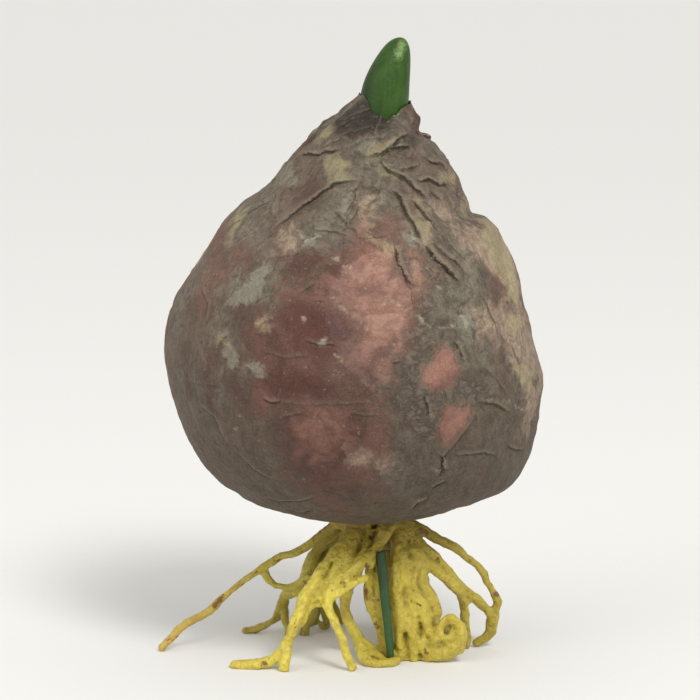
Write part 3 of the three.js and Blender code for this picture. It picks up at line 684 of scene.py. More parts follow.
def stroke_depths(places, stroke, middle_depth):
    """How deep points on the front lie inside a stroke drawn on the photograph, and below zero outside."""
    path, width = stroke
    away = places - np.array(EYE)
    scale = DISTANCE / (away @ np.array(FORWARD)) / PIXEL
    across = PHOTO_MIDDLE + scale * (away @ np.array(RIGHTWARD))
    down = PHOTO_MIDDLE - scale * (away @ np.array(UPWARD))
    steps = np.linspace(0, len(path) - 1, STROKE_STEPS * len(path))
    xs = np.interp(steps, range(len(path)), [pixel[0] for pixel in path])
    ys = np.interp(steps, range(len(path)), [pixel[1] for pixel in path])
    distance = np.hypot(across[:, None] - xs, down[:, None] - ys).min(axis=1)
    behind = np.maximum(0, places[:, 1] - middle_depth)
    return PIXEL * (width / 2 - distance) - behind


def scuff_and_glint_depths(chart):
    """How deep points of the chart lie inside the nearest scuff or painted highlight, and below zero
    outside.
    """
    depth = np.full(chart[0].shape, -PATCH_REACH, dtype=np.float32)
    for pixels, width in SCUFFS_AND_GLINT:
        distance = offsets(chart, on_skin(pixels), PATCH_REACH)[0]
        depth = np.maximum(depth, np.maximum(width * PIXEL / 2 - distance, -PATCH_REACH))
    return depth


def front_creases():
    """The creases that the photograph shows, as paths on the skin."""
    return [(on_skin(pixels), *sizes) for pixels, *sizes in CREASES]


def gathers():
    """Fine creases that run down from the neck all round."""
    rng = np.random.default_rng(GATHER_SEED)
    neck = ARC[-1] - GATHER_TOP * MM
    steps = np.linspace(0, 1, GATHER_POINTS)
    made = []
    for _ in range(GATHER_COUNT):
        azimuth = rng.uniform(-math.pi, math.pi)
        start = neck - rng.uniform(*GATHER_STARTS) * MM
        length = rng.uniform(*GATHER_LENGTHS) * MM
        drift = rng.uniform(-GATHER_DRIFT, GATHER_DRIFT)
        wander = rng.uniform(-GATHER_WANDER, GATHER_WANDER, GATHER_POINTS)
        path = np.stack([wrapped(azimuth + drift * steps + wander), start - length * steps], axis=1)
        depth = rng.uniform(*GATHER_DEPTHS)
        made.append((path, depth, GATHER_RIDGE * depth, 0.0))
    return made


def crease_relief(chart):
    """What the creases do to the skin: its height, how far each point lies above the nearest crease, and
    how deep that crease is there."""
    height = np.zeros(chart[0].shape)
    gap = np.full(chart[0].shape, PATCH_REACH)
    depth = np.zeros(chart[0].shape)
    coarseness = 1 + COARSER_ASIDE * (1 - np.cos(chart[0] - FRONT))
    unseen = unseen_share(chart)
    for front, valley, ridge, overlap in [*front_creases(), *gathers()]:
        placed = [(front, 1.0)]
        if valley > GATHER_DEPTHS[1]:
            placed += [(turned(front, *side), UNSEEN_CREASES * unseen) for side in UNSEEN_SIDES]
        for path, share in placed:
            distance, side, along = offsets(chart, path, CREASE_REACH)
            taper = np.clip(TAPER_RATE * np.minimum(along, 1 - along), 0, 1) ** TAPER_POWER
            taper = np.where(distance < CREASE_REACH, taper, 0)
            signed = distance * side
            cut = np.exp(-(((signed + VALLEY_BELOW) / (VALLEY_WIDTH * coarseness)) ** 2)) * taper
            edge = np.clip(signed / (EDGE_WIDTH * coarseness) + 0.5, 0, 1) * taper
            fold = edge * np.exp(-distance / FOLD_REACH)
            over = edge * np.exp(-distance / OVERLAP_REACH)
            height += share * MM * (ridge * fold - VALLEY_SHARE * valley * cut + overlap * over)
            strength = share * taper * min(1, valley / FULL_DEPTH) * np.exp(-((distance / FOLD_REACH) ** 2))
            gap = np.where(strength > depth, signed + VALLEY_BELOW, gap)
            depth = np.maximum(depth, strength)
    return height, gap, depth


# ---- Making meshes ----

SAME_CAD_POINT = 0.001 * MM  # points closer than this are one point
SAME_POINT = 0.01 * MM
NOISE_SHIFT = 7.3, 3.1, 5.7  # between the noises of one seed and the next
FRONT_CROWDING = 0.45  # a sheet's columns are this share closer together at the front
NECK_CROWDING = 0.12  # its rows are moved up by as much as this share, and so get closer towards the neck
LEAST_RADIUS = 1 * MM  # a chart's, at the pole


def deselect_all():
    if bpy.context.object and bpy.context.object.mode != "OBJECT":
        bpy.ops.object.mode_set(mode="OBJECT")
    bpy.ops.object.select_all(action="DESELECT")


def select_only(piece):
    deselect_all()
    piece.select_set(True)
    bpy.context.view_layer.objects.active = piece


def start_editing(piece):
    """Opens a piece in edit mode with all of it selected."""
    select_only(piece)
    bpy.ops.object.mode_set(mode="EDIT")
    bpy.ops.mesh.select_all(action="SELECT")


def stop_editing():
    bpy.ops.object.mode_set(mode="OBJECT")


def finish_modifier(piece, kind, **settings):
    """Adds a modifier and applies it."""
    select_only(piece)
    modifier = piece.modifiers.new(kind.lower(), kind)
    for name, value in settings.items():
        setattr(modifier, name, value)
    bpy.ops.object.modifier_apply(modifier=modifier.name)


def merged_copy(node_name, name):
    """A CAD node's shape as a new piece, its loose triangles joined."""
    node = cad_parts[node_name]
    mesh = node.data.copy()
    mesh.transform(node.matrix_world)
    mesh.materials.clear()
    piece = bpy.data.objects.new(name, mesh)
    bpy.context.collection.objects.link(piece)
    start_editing(piece)
    bpy.ops.mesh.remove_doubles(threshold=SAME_CAD_POINT)
    stop_editing()
    return piece


def vertex_places(piece):
    places = np.empty(3 * len(piece.data.vertices), dtype=np.float32)
    piece.data.vertices.foreach_get("co", places)
    return places.reshape(-1, 3)


def place_vertices(piece, places):
    piece.data.vertices.foreach_set("co", np.ascontiguousarray(places, dtype=np.float32).ravel())
    piece.data.update()


def vertex_normals(piece):
    normals = np.empty(3 * len(piece.data.vertices), dtype=np.float32)
    piece.data.vertices.foreach_get("normal", normals)
    return normals.reshape(-1, 3)


def mark(piece, name, values):
    """Keeps a value for each vertex that the piece's material reads."""
    attribute = piece.data.attributes.new(name, "FLOAT", "POINT")
    attribute.data.foreach_set("value", np.ascontiguousarray(values, dtype=np.float32))


def smooth_noise(places, size, octaves, seed):
    """Noise from about -1 to 1 with lumps of a size in metres."""
    shift = Vector([seed * each for each in NOISE_SHIFT])
    return np.array([noise.fractal(Vector(p) / size + shift, 1.0, 2.0, octaves) for p in places])


def sheet(name, columns, rows):
    """A flat grid whose vertices run by column within each row."""
    deselect_all()
    bpy.ops.mesh.primitive_grid_add(x_subdivisions=columns, y_subdivisions=rows, size=1)
    piece = bpy.context.object
    piece.name = name
    piece.data.name = name
    flat = vertex_places(piece)
    return piece, flat[:, 0] + 0.5, flat[:, 1] + 0.5


def front_dense(share):
    """An azimuth for a share of the way round from the back, closer together at the front."""
    turn = 2 * math.pi * (share - 0.5)
    return wrapped(FRONT + turn - FRONT_CROWDING * np.sin(turn))


def neck_dense(share):
    """A share of the way up, with steps that get closer towards the neck."""
    return share + NECK_CROWDING * np.sin(math.pi * share)


def chart_of(azimuth, arc):
    """The azimuth, arc and radius of some points on the skin."""
    return azimuth, arc, np.maximum(np.interp(arc, ARC, HALF), LEAST_RADIUS)


def smooth_shading(piece, angle=60):
    select_only(piece)
    bpy.ops.object.shade_smooth_by_angle(angle=math.radians(angle))


def dress(piece, material, node):
    """Gives a piece its material, puts it under the root body and hides the CAD node that it stands for."""
    piece.data.materials.clear()
    piece.data.materials.append(material)
    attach(piece, "root")
    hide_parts(node)


# ---- Materials ----


def linear(code):
    """An sRGB hex colour as linear RGBA."""
    parts = [int(code[k : k + 2], 16) / 255 for k in (1, 3, 5)]
    return (*(p / 12.92 if p <= 0.04045 else ((p + 0.055) / 1.055) ** 2.4 for p in parts), 1.0)


def add_node(tree, kind, inputs, output=0, **settings):
    """Adds a node and gives back one of its outputs. An input is given a value, or is linked where the
    value is another node's output."""
    made = tree.nodes.new(kind)
    for name, value in settings.items():
        setattr(made, name, value)
    for socket, value in inputs.items():
        if isinstance(value, bpy.types.NodeSocket):
            tree.links.new(value, made.inputs[socket])
        else:
            made.inputs[socket].default_value = value
    return made.outputs[output]


def bare_material(name):
    """A new material with its surface shader and the place on the piece in mm."""
    material = bpy.data.materials.new(name)
    material.use_nodes = True
    tree = material.node_tree
    surface = next(each for each in tree.nodes if each.type == "BSDF_PRINCIPLED")
    place = add_node(tree, "ShaderNodeTexCoord", {}, "Object")
    in_mm = add_node(tree, "ShaderNodeMapping", {"Vector": place, "Scale": (1 / MM, 1 / MM, 1 / MM)})
    return material, tree, surface, in_mm


def finish_surface(tree, surface, colour, relief, depth, **values):
    """Gives the shader its colour, its relief of a depth in mm, and its other values."""
    bump = {"Height": relief, "Strength": 1.0, "Distance": depth * MM}
    tree.links.new(colour, surface.inputs["Base Color"])
    tree.links.new(add_node(tree, "ShaderNodeBump", bump), surface.inputs["Normal"])
    for name, value in values.items():
        surface.inputs[name.replace("_", " ")].default_value = value


def lumps(tree, in_mm, size, low=0.35, high=0.65, detail=4.0, distortion=0.3, stretch=(1, 1, 1)):
    """Lumps of a size in mm: 0 where the noise is low, 1 where it is high. They are drawn out along an axis
    where their stretch is small."""
    drawn = add_node(tree, "ShaderNodeMapping", {"Vector": in_mm, "Scale": stretch})
    inputs = {
        "Vector": drawn, "Scale": 1 / size, "Detail": detail, "Roughness": 0.62, "Distortion": distortion,
    }
    cloud = add_node(tree, "ShaderNodeTexNoise", inputs)
    contrast = {0: cloud, 1: low, 2: high}
    return add_node(tree, "ShaderNodeMapRange", contrast, interpolation_type="SMOOTHSTEP")


def crumples(tree, in_mm, size, sharpness, stretch=(1, 1, 1)):
    """Crushed paper: 0 along sharp lines about a size in mm apart, and 1 on the flats between them."""
    drawn = add_node(tree, "ShaderNodeMapping", {"Vector": in_mm, "Scale": stretch})
    inputs = {"Vector": drawn, "Scale": 1 / size, "Detail": 2.0, "Distortion": 0.5}
    cloud = add_node(tree, "ShaderNodeTexNoise", inputs)
    centred = add_node(tree, "ShaderNodeMath", {0: cloud, 1: 0.5}, operation="SUBTRACT")
    folded = add_node(tree, "ShaderNodeMath", {0: centred}, operation="ABSOLUTE")
    return add_node(tree, "ShaderNodeMapRange", {0: folded, 1: 0.0, 2: sharpness})


def heaped(tree, *weighted):
    """The sum of some outputs, each times its weight."""
    total = 0.0
    for value, weight in weighted:
        total = add_node(tree, "ShaderNodeMath", {0: value, 1: weight, 2: total}, operation="MULTIPLY_ADD")
    return total


def painted(tree, colour, share, strength, paint):
    """Lays another colour over a colour, as strongly as its share times its strength."""
    amount = add_node(tree, "ShaderNodeMath", {0: share, 1: strength}, operation="MULTIPLY")
    inputs = {0: amount, 6: colour, 7: linear(paint) if isinstance(paint, str) else paint}
    return add_node(tree, "ShaderNodeMix", inputs, 2, data_type="RGBA")


def patch_share(tree, name, edge, ragged, soft):
    """Where a kind of patch covers the skin. Its edge wanders by ragged mm and fades over soft mm."""
    depth = add_node(tree, "ShaderNodeAttribute", {}, "Fac", attribute_name=name)
    wandering = heaped(tree, (depth, 1 / MM), (edge, 2 * ragged))
    fade = {0: wandering, 1: ragged - soft, 2: ragged + soft}
    return add_node(tree, "ShaderNodeMapRange", fade, interpolation_type="SMOOTHSTEP")


def crease_shade_and_highlight(tree, edge):
    """The painted shade of the dark line in each crease, and the painted highlight of the pale fold above
    it, which is full a third of a millimetre above the crease and gone at 1.1 mm."""
    gap = add_node(tree, "ShaderNodeAttribute", {}, "Fac", attribute_name="crease_gap")
    depth = add_node(tree, "ShaderNodeAttribute", {}, "Fac", attribute_name="crease_depth")
    above = heaped(tree, (gap, 1 / MM), (edge, 0.24), (1.0, -0.12))
    away = add_node(tree, "ShaderNodeMath", {0: above}, operation="ABSOLUTE")
    width = {0: away, 1: 0.25, 2: 0.03}
    groove = add_node(tree, "ShaderNodeMapRange", width, interpolation_type="SMOOTHSTEP")
    line = add_node(tree, "ShaderNodeMath", {0: groove, 1: depth}, operation="MULTIPLY")
    rise = add_node(tree, "ShaderNodeMapRange", {0: above, 1: 0.1, 2: 0.35, 4: depth})
    fold = add_node(tree, "ShaderNodeMapRange", {0: above, 1: 1.1, 2: 0.35, 4: rise})
    return line, fold


# The skin's colours: a ground, then coats that follow a noise, with their strength and colour.
SKIN_GROUND = "#574e42"
SKIN_COATS = [
    ("middling", 1.0, "#7b7163"),
    ("clouds", 0.35, "#66664f"),
    ("broad", 0.56, "#6b5246"),
    ("veins", 0.26, "#93897a"),
    ("fibres", 0.18, "#a29a86"),
]
# The marks on it in the order in which they cover each other: kind, the noise that its edge follows, how
# ragged and how soft the edge is in mm, its strength, and its colour, or two and the noise that mixes them.
SKIN_MARKS = [
    ("plum", "clouds", 1.3, 2.4, 0.76, "#553c33"),
    ("worn", "clouds", 1.6, 3.0, 0.74, "#56392f", "clouds", "#7a544a"),
    ("rosy", "middling", 1.2, 2.6, 0.8, "#714b3d", "middling", "#8b6456"),
    ("blush", "middling", 1.0, 1.8, 0.8, "#8e6452", "ripples", "#a98370"),
    ("maroon", "middling", 1.0, 1.6, 0.75, "#54322b"),
    ("sage", "small", 0.5, 0.55, 0.65, "#8d8878"),
    ("faded", "middling", 1.2, 1.6, 0.7, "#92796a", "small", "#b3a086"),
    ("khaki", "middling", 0.8, 1.1, 0.6, "#aa9d78"),
    ("ash", "small", 0.5, 0.9, 0.66, "#463b32", "crinkled", "#7b6c5f"),
    ("sooty", "small", 0.5, 0.9, 0.8, "#2b2522"),
    ("salmon", "small", 0.3, 0.95, 0.88, "#81574a", "clouds", "#9f7060"),
    # Pale scuffs, and one painted highlight on the bare flesh.
    ("scuffs_and_glint", "small", 0.2, 0.28, 0.52, "#b0ab94"),
]
# How strongly each noise shows in the skin's relief.
SKIN_RELIEF = [
    ("small", 0.4), ("grain", 0.2), ("veins", 0.25), ("fibres", 0.15), ("ripples", 0.2), ("crushed", 0.5),
    ("crinkled", 0.3),
]


def skin_noises(tree, in_mm):
    """The noises that the skin's colours and relief follow. Real dust and fibres are finer than the grain
    and fibres here, but wouldn't show."""
    return {
        "broad": lumps(tree, in_mm, 13.0, 0.42, 0.62, 3.0),
        "clouds": lumps(tree, in_mm, 6.0, 0.36, 0.64, distortion=0.6),
        "middling": lumps(tree, in_mm, 3.2, 0.36, 0.64, 6.0, 0.8),
        "small": lumps(tree, in_mm, 1.2, 0.32, 0.68, 5.0, 0.5),
        "grain": lumps(tree, in_mm, 0.26, 0.3, 0.7, 2.0, 0.0),
        "veins": lumps(tree, in_mm, 1.0, 0.42, 0.72, stretch=(1, 1, 0.25)),
        "fibres": lumps(tree, in_mm, 0.42, 0.4, 0.7, 3.0, 0.6, stretch=(1, 1, 0.22)),
        "ripples": lumps(tree, in_mm, 1.5, 0.34, 0.7, distortion=1.1, stretch=(0.45, 0.45, 1)),
        "crushed": crumples(tree, in_mm, 3.4, 0.09, stretch=(1, 1, 0.6)),
        "crinkled": crumples(tree, in_mm, 1.1, 0.17, stretch=(0.7, 0.7, 1)),
    }


def skin_colour(tree, in_mm):
    """The blotched colours of the bulb's skin, which the dry layers and the flesh under them share, with
    painted shade in its hollows and crumples, towards its bottom and at its neck, and with its relief and
    the noise of its small lumps."""
    noises = skin_noises(tree, in_mm)
    small = noises["small"]
    colour = linear(SKIN_GROUND)
    for noise_name, strength, paint in SKIN_COATS:
        colour = painted(tree, colour, noises[noise_name], strength, paint)
    # Painted shade in the hollows of the small lumps.
    hollow_shade = add_node(tree, "ShaderNodeMapRange", {0: small, 1: 0.35, 2: 0.0})
    colour = painted(tree, colour, hollow_shade, 0.4, "#382f28")
    # Painted shade along the crushed crumple lines, stronger where the middling noise is high.
    fold = {0: noises["crushed"], 1: 0.25, 2: 0.0, 4: noises["middling"]}
    folded = add_node(tree, "ShaderNodeMapRange", fold)
    colour = painted(tree, colour, folded, 0.5, "#2c251f")
    height = add_node(tree, "ShaderNodeSeparateXYZ", {0: in_mm}, "Z")
    lower = add_node(tree, "ShaderNodeMapRange", {0: height, 1: 62, 2: 36})
    colour = painted(tree, colour, lower, 0.42, "#4d3d30")
    for kind, edge, ragged, soft, strength, paint, *mixed in SKIN_MARKS:
        share = patch_share(tree, kind, noises[edge], ragged, soft)
        if mixed:
            mixing, other_paint = mixed
            paint = painted(tree, linear(paint), noises[mixing], 1.0, other_paint)
        colour = painted(tree, colour, share, strength, paint)
    dust = lumps(tree, in_mm, 0.5, 0.64, 0.72, 3.0)
    colour = painted(tree, colour, dust, 0.35, "#b4ab96")
    # Painted shade: the skin is darker towards its bottom and at the neck.
    shade_towards_bottom = add_node(tree, "ShaderNodeMapRange", {0: height, 1: 27, 2: 60, 3: 0.70, 4: 1.0})
    neck_shade = add_node(tree, "ShaderNodeMapRange", {0: height, 1: 64, 2: 76, 3: 1.0, 4: 0.85})
    speckle = heaped(tree, (noises["grain"], 0.26), (small, 0.18), (0.78, 1.0))
    shaded = add_node(tree, "ShaderNodeMath", {0: shade_towards_bottom, 1: neck_shade}, operation="MULTIPLY")
    tone = add_node(tree, "ShaderNodeMath", {0: shaded, 1: speckle}, operation="MULTIPLY")
    colour = add_node(tree, "ShaderNodeVectorMath", {0: colour, 3: tone}, operation="SCALE")
    relief = heaped(tree, *((noises[noise_name], weight) for noise_name, weight in SKIN_RELIEF))
    return colour, relief, small


def papery_tunic():
    """Dry bulb scale, dead and papery: matt, crushed and fibrous, grey-brown with wine-red and khaki
    blotches, and a little paler where it turns away, as fine fuzz is."""
    material, tree, surface, in_mm = bare_material("dry_papery_scale")
    colour, relief, small = skin_colour(tree, in_mm)
    line, fold = crease_shade_and_highlight(tree, small)
    # The pale fold above each crease is a painted highlight, and its dark line is painted shade.
    colour = painted(tree, colour, fold, 0.45, "#9f957e")
    colour = painted(tree, colour, line, 0.8, "#211a15")
    relief = heaped(tree, (relief, 1.0), (fold, 0.5), (line, -0.9))
    rough = add_node(tree, "ShaderNodeMapRange", {0: small, 3: 0.58, 4: 0.78})
    tree.links.new(rough, surface.inputs["Roughness"])
    finish_surface(
        tree, surface, colour, relief, 0.24, Specular_IOR_Level=0.3, Sheen_Weight=0.07,
        Sheen_Tint=linear("#e6c0a0"),
    )
    return material


def moist_flesh():
    """Living bulb scale: smooth, slightly moist and waxy, wine-red to salmon."""
    material, tree, surface, in_mm = bare_material("fleshy_bulb_scale")
    colour, relief, _ = skin_colour(tree, in_mm)
    finish_surface(
        tree, surface, colour, relief, 0.13, Roughness=0.5, Specular_IOR_Level=0.4, Subsurface_Weight=0.1,
        Subsurface_Radius=(1.0, 0.5, 0.35), Subsurface_Scale=0.5 * MM,
    )
    return material


def leaf_green():
    """A young leaf tip: smooth, firm and waxy, fresh green, with painted shade on its left and a painted
    highlight near its top.
    """
    material, tree, surface, in_mm = bare_material("waxy_leaf")
    streaks = lumps(tree, in_mm, 0.7, 0.3, 0.7, 3.0, stretch=(1, 1, 0.08))
    clouds = lumps(tree, in_mm, 3.0)
    small = lumps(tree, in_mm, 0.6)
    sideways = add_node(tree, "ShaderNodeSeparateXYZ", {0: in_mm}, "X")
    colour = painted(tree, linear("#25420c"), streaks, 1.0, "#315310")
    colour = painted(tree, colour, clouds, 0.4, "#3e6218")
    # Painted shade on the shoot's left side.
    left = add_node(tree, "ShaderNodeMapRange", {0: sideways, 1: 5.5, 2: 2.5})
    colour = painted(tree, colour, left, 0.75, "#1b350a")
    # A painted highlight near the shoot's tip.
    tip_highlight = patch_share(tree, "tip_highlight", small, 0.3, 0.8)
    colour = painted(tree, colour, tip_highlight, 0.62, "#98b56c")
    # Painted shade in the small nick below the highlight.
    nick = patch_share(tree, "nick", small, 0.1, 0.12)
    colour = painted(tree, colour, nick, 0.8, "#1d3512")
    relief = heaped(tree, (streaks, 0.5), (small, 0.5), (nick, -1.0))
    finish_surface(
        tree, surface, colour, relief, 0.06, Roughness=0.42, Specular_IOR_Level=0.32, Subsurface_Weight=0.1,
        Subsurface_Radius=(0.5, 1.0, 0.2), Subsurface_Scale=1.0 * MM,
    )
    return material


def root_flesh():
    """Water roots: fleshy, moist, translucent yellow with brown specks, browner near the crown, partly as
    painted shade, and with painted shade at the back and in the clefts between them.
    """
    material, tree, surface, in_mm = bare_material("fleshy_root")
    clouds = lumps(tree, in_mm, 3.0)
    small = lumps(tree, in_mm, 0.8)
    specks = lumps(tree, in_mm, 0.8, 0.33, 0.29, 2.0)
    knots = lumps(tree, in_mm, 2.2, 0.31, 0.25, 2.0)
    height = add_node(tree, "ShaderNodeSeparateXYZ", {0: in_mm}, "Z")
    colour = painted(tree, linear("#bda735"), clouds, 1.0, "#e0ce4c")
    colour = painted(tree, colour, small, 0.4, "#ecdf74")
    depth = add_node(tree, "ShaderNodeSeparateXYZ", {0: in_mm}, "Y")
    # Painted shade: the roots further back are a darker olive.
    at_back = add_node(tree, "ShaderNodeMapRange", {0: depth, 1: -9, 2: 4})
    colour = painted(tree, colour, at_back, 0.55, "#8b7f33")
    # Browner near the crown: partly the roots' own colour there, partly painted shade under the bulb.
    crown_edge = heaped(tree, (height, 1.0), (clouds, 3.0))
    crown_tint_and_shade = add_node(tree, "ShaderNodeMapRange", {0: crown_edge, 1: 15, 2: 24})
    colour = painted(tree, colour, crown_tint_and_shade, 1.0, "#8f762b")
    sideways = add_node(tree, "ShaderNodeSeparateXYZ", {0: in_mm}, "X")
    towards_tip = add_node(tree, "ShaderNodeMapRange", {0: sideways, 1: -12, 2: -26})
    colour = painted(tree, colour, towards_tip, 0.5, "#c79d58")
    towards_fan = add_node(tree, "ShaderNodeMapRange", {0: sideways, 1: 1, 2: 6})
    colour = painted(tree, colour, towards_fan, 0.4, "#a18b26")
    colour = painted(tree, colour, specks, 0.8, "#7a5322")
    colour = painted(tree, colour, knots, 0.6, "#94762f")
    # Painted shade in the clefts between the roots.
    sunken = add_node(tree, "ShaderNodeAttribute", {}, "Fac", attribute_name="sunken")
    cleft_shade = add_node(tree, "ShaderNodeMapRange", {0: sunken, 1: 0.03 * MM, 2: 0.30 * MM})
    colour = painted(tree, colour, cleft_shade, 0.75, "#7a6a22")
    specked = patch_share(tree, "specked", small, 0.25, 0.15)
    colour = painted(tree, colour, specked, 0.85, "#71401f")
    relief = heaped(tree, (small, 1.0), (specks, -0.6), (specked, 0.5))
    finish_surface(
        tree, surface, colour, relief, 0.14, Roughness=0.36, Specular_IOR_Level=0.5, Subsurface_Weight=0.3,
        Subsurface_Radius=(1.0, 0.8, 0.2), Subsurface_Scale=0.7 * MM,
    )
    return material


def stick_green():
    """A split green stick: dull, dark, finely speckled along its length, and darker towards its top with
    painted shade.
    """
    material, tree, surface, in_mm = bare_material("green_wood")
    grain = lumps(tree, in_mm, 0.5, 0.4, 0.7, stretch=(1, 1, 0.2))
    height = add_node(tree, "ShaderNodeSeparateXYZ", {0: in_mm}, "Z")
    # Painted shade: the stick is darker towards its top, under the roots.
    lower = add_node(tree, "ShaderNodeMapRange", {0: height, 1: 18, 2: 5})
    colour = painted(tree, linear("#1c3415"), lower, 1.0, "#2c5023")
    colour = painted(tree, colour, grain, 0.35, "#456b39")
    finish_surface(tree, surface, colour, grain, 0.06, Roughness=0.5)
    return material


def pale_floor():
    """White card, matt, so that only the object's soft shadow shows on it."""
    material, tree, surface, in_mm = bare_material("matt_white_card")
    tooth = lumps(tree, in_mm, 0.8)
    colour = painted(tree, linear("#f4f3f0"), tooth, 1.0, "#f5f4f1")
    finish_surface(tree, surface, colour, tooth, 0.005, Roughness=0.9)
    return material


# ---- The pieces ----

TUNIC_COLUMNS = 340
TUNIC_ROWS = 240
TUNIC_THICKNESS = 0.12 * MM
TRIANGLES = 190000

# The ragged rim and foot of the dry skin, in mm. A wave is its size, its count round the bulb, its twist
# for each metre of height, and its turn.
RIM_BELOW = 0.1  # below the top of the CAD's tunic
FRONT_DIP, FRONT_DIP_TURN, FRONT_DIP_SPREAD = 2.6, 0.15, 0.9
RIGHT_DIP = 1.3
RIM_WAVES = [(0.22, 3, 0, 2.4), (0.16, 7, 0, 0), (0.10, 17, 0, 1)]
FOOT_RADIUS = 10.4
FOOT_WAVES = [(0.80, 4, 0, 0.8), (0.35, 11, 0, 0), (0.20, 29, 0, 0)]

# How far the dry skin stands out, in mm, with the sizes of its noises.
PLEAT_WAVES = [(1.0, 11, 150, 0), (0.7, 7, -240, 1), (0.6, 23, 420, 2)]
PLEATS_BEGIN, PLEATS_RISE, PLEATS_POWER = 58 * MM, 24 * MM, 1.4
PLEAT_DEPTH = 0.22
DENT_SIZE, DENT_DEPTH = 11 * MM, 0.45
CRUMPLE_SIZE, CRUMPLE_DEPTH = 2.6 * MM, 0.10
RIDGE_SIZE, RIDGE_STRETCH = 2.2 * MM, (1, 1, 0.45)
RIDGE_DEPTH, NECK_RIDGE_DEPTH = 0.05, 0.10
SKIN_SUNK = 0.15  # all over
RIM_CALM = 0.7  # the relief is weaker by this share at the rim
RIM_SUNK = 0.1

# The edges of the tears.
TEAR_RAGGED, TEAR_RAGGED_SIZE = 0.45 * MM, 1.6 * MM
TEAR_LIFT, TEAR_LIFT_REACH = 0.14 * MM, 0.6 * MM
SNAP_REACH = 0.30 * MM  # vertices nearer a tear's edge than this are moved onto it
SNAP_LIMIT = 0.35 * MM
LEAST_SLOPE = 0.25  # squared, so that no vertex is moved far where the edge is vague


def waves(parts, azimuth, height=0.0):
    """The sum of some waves round the bulb."""
    return sum(size * np.sin(count * azimuth + twist * height + turn) for size, count, twist, turn in parts)


def rim_arc(azimuth):
    """Where the ragged rim lies round the neck: high on the left, and lowest at the front."""
    front = np.exp(-((wrapped(azimuth - FRONT - FRONT_DIP_TURN) / FRONT_DIP_SPREAD) ** 2))
    dip = FRONT_DIP * front + RIGHT_DIP * (1 + np.cos(azimuth)) / 2
    height = TUNIC_HIGH.z - MM * (RIM_BELOW + dip)
    return np.interp(height + MM * waves(RIM_WAVES, azimuth), HEIGHT, ARC)


def foot_arc(azimuth):
    """Where the ragged foot lies round the root crown."""
    radius = MM * (FOOT_RADIUS + waves(FOOT_WAVES, azimuth))
    lowest = len(ARC) // 3
    return np.interp(radius, HALF[:lowest], ARC[:lowest])


def skin_relief(chart, places):
    """How far the dry skin stands out from the smooth outline, and where its creases lie."""
    azimuth, arc, _ = chart
    height = np.interp(arc, ARC, HEIGHT)
    gathered = np.clip((height - PLEATS_BEGIN) / PLEATS_RISE, 0, 1) ** PLEATS_POWER
    pleats = waves(PLEAT_WAVES, azimuth, height)
    dents = smooth_noise(places, DENT_SIZE, 3, 1)
    crumple = smooth_noise(places, CRUMPLE_SIZE, 4, 2)
    ridged = 1 - 2 * abs(smooth_noise(places * RIDGE_STRETCH, RIDGE_SIZE, 3, 3))
    creased, gap, depth = crease_relief(chart)
    trimmed = np.zeros(height.shape)
    for side, middle, spread, out in TRIMS:
        facing = np.maximum(0, np.cos(azimuth - side)) ** 2
        trimmed += out * MM * facing * np.exp(-(((height - middle * MM) / (spread * MM)) ** 2))
    out = MM * (PLEAT_DEPTH * gathered * pleats + DENT_DEPTH * dents + CRUMPLE_DEPTH * crumple)
    out += MM * (RIDGE_DEPTH + NECK_RIDGE_DEPTH * gathered) * ridged - SKIN_SUNK * MM
    at_rim = np.clip((height - RIM_BEGINS) / (TUNIC_HIGH.z - RIM_BEGINS), 0, 1)
    return (out + creased) * (1 - RIM_CALM * at_rim) + trimmed - RIM_SUNK * MM * at_rim, gap, depth


def closed_on_shoot(places, below_rim):
    """Draws the skin in to the shoot along its rim."""
    low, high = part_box("shoot")
    half_deep = (high.y - low.y) / 2
    half_wide = half_deep / SHOOT_DEPTH_SHARE
    away = np.hypot((places[:, 0] - NECK_MIDDLE) / half_wide, places[:, 1] / half_deep)
    wanted = 1 + SHOOT_ROOM / half_deep
    closing = np.exp(-((below_rim / RIM_REACH) ** 2)) * np.maximum(0, 1 - wanted / away)
    places[:, 0] -= closing * (places[:, 0] - NECK_MIDDLE)
    places[:, 1] -= closing * places[:, 1]
    return places


def clinging(chart):
    """How closely the dry skin lies on the flesh, from 0 to 1."""
    paths = [on_skin(pixels) for pixels in CLINGING_EDGES]
    distance = np.min([offsets(chart, path, 3 * CLINGING_REACH)[0] for path in paths], axis=0)
    return np.exp(-((distance / CLINGING_REACH) ** 2))


def mark_skin(piece, chart):
    """Keeps where the skin's marks lie."""
    for kind, patches in PATCHES.items():
        mark(piece, kind, patch_depths(chart, patches, MOSTLY_FRONT.get(kind, 0.0)))
    mark(piece, "scuffs_and_glint", scuff_and_glint_depths(chart))


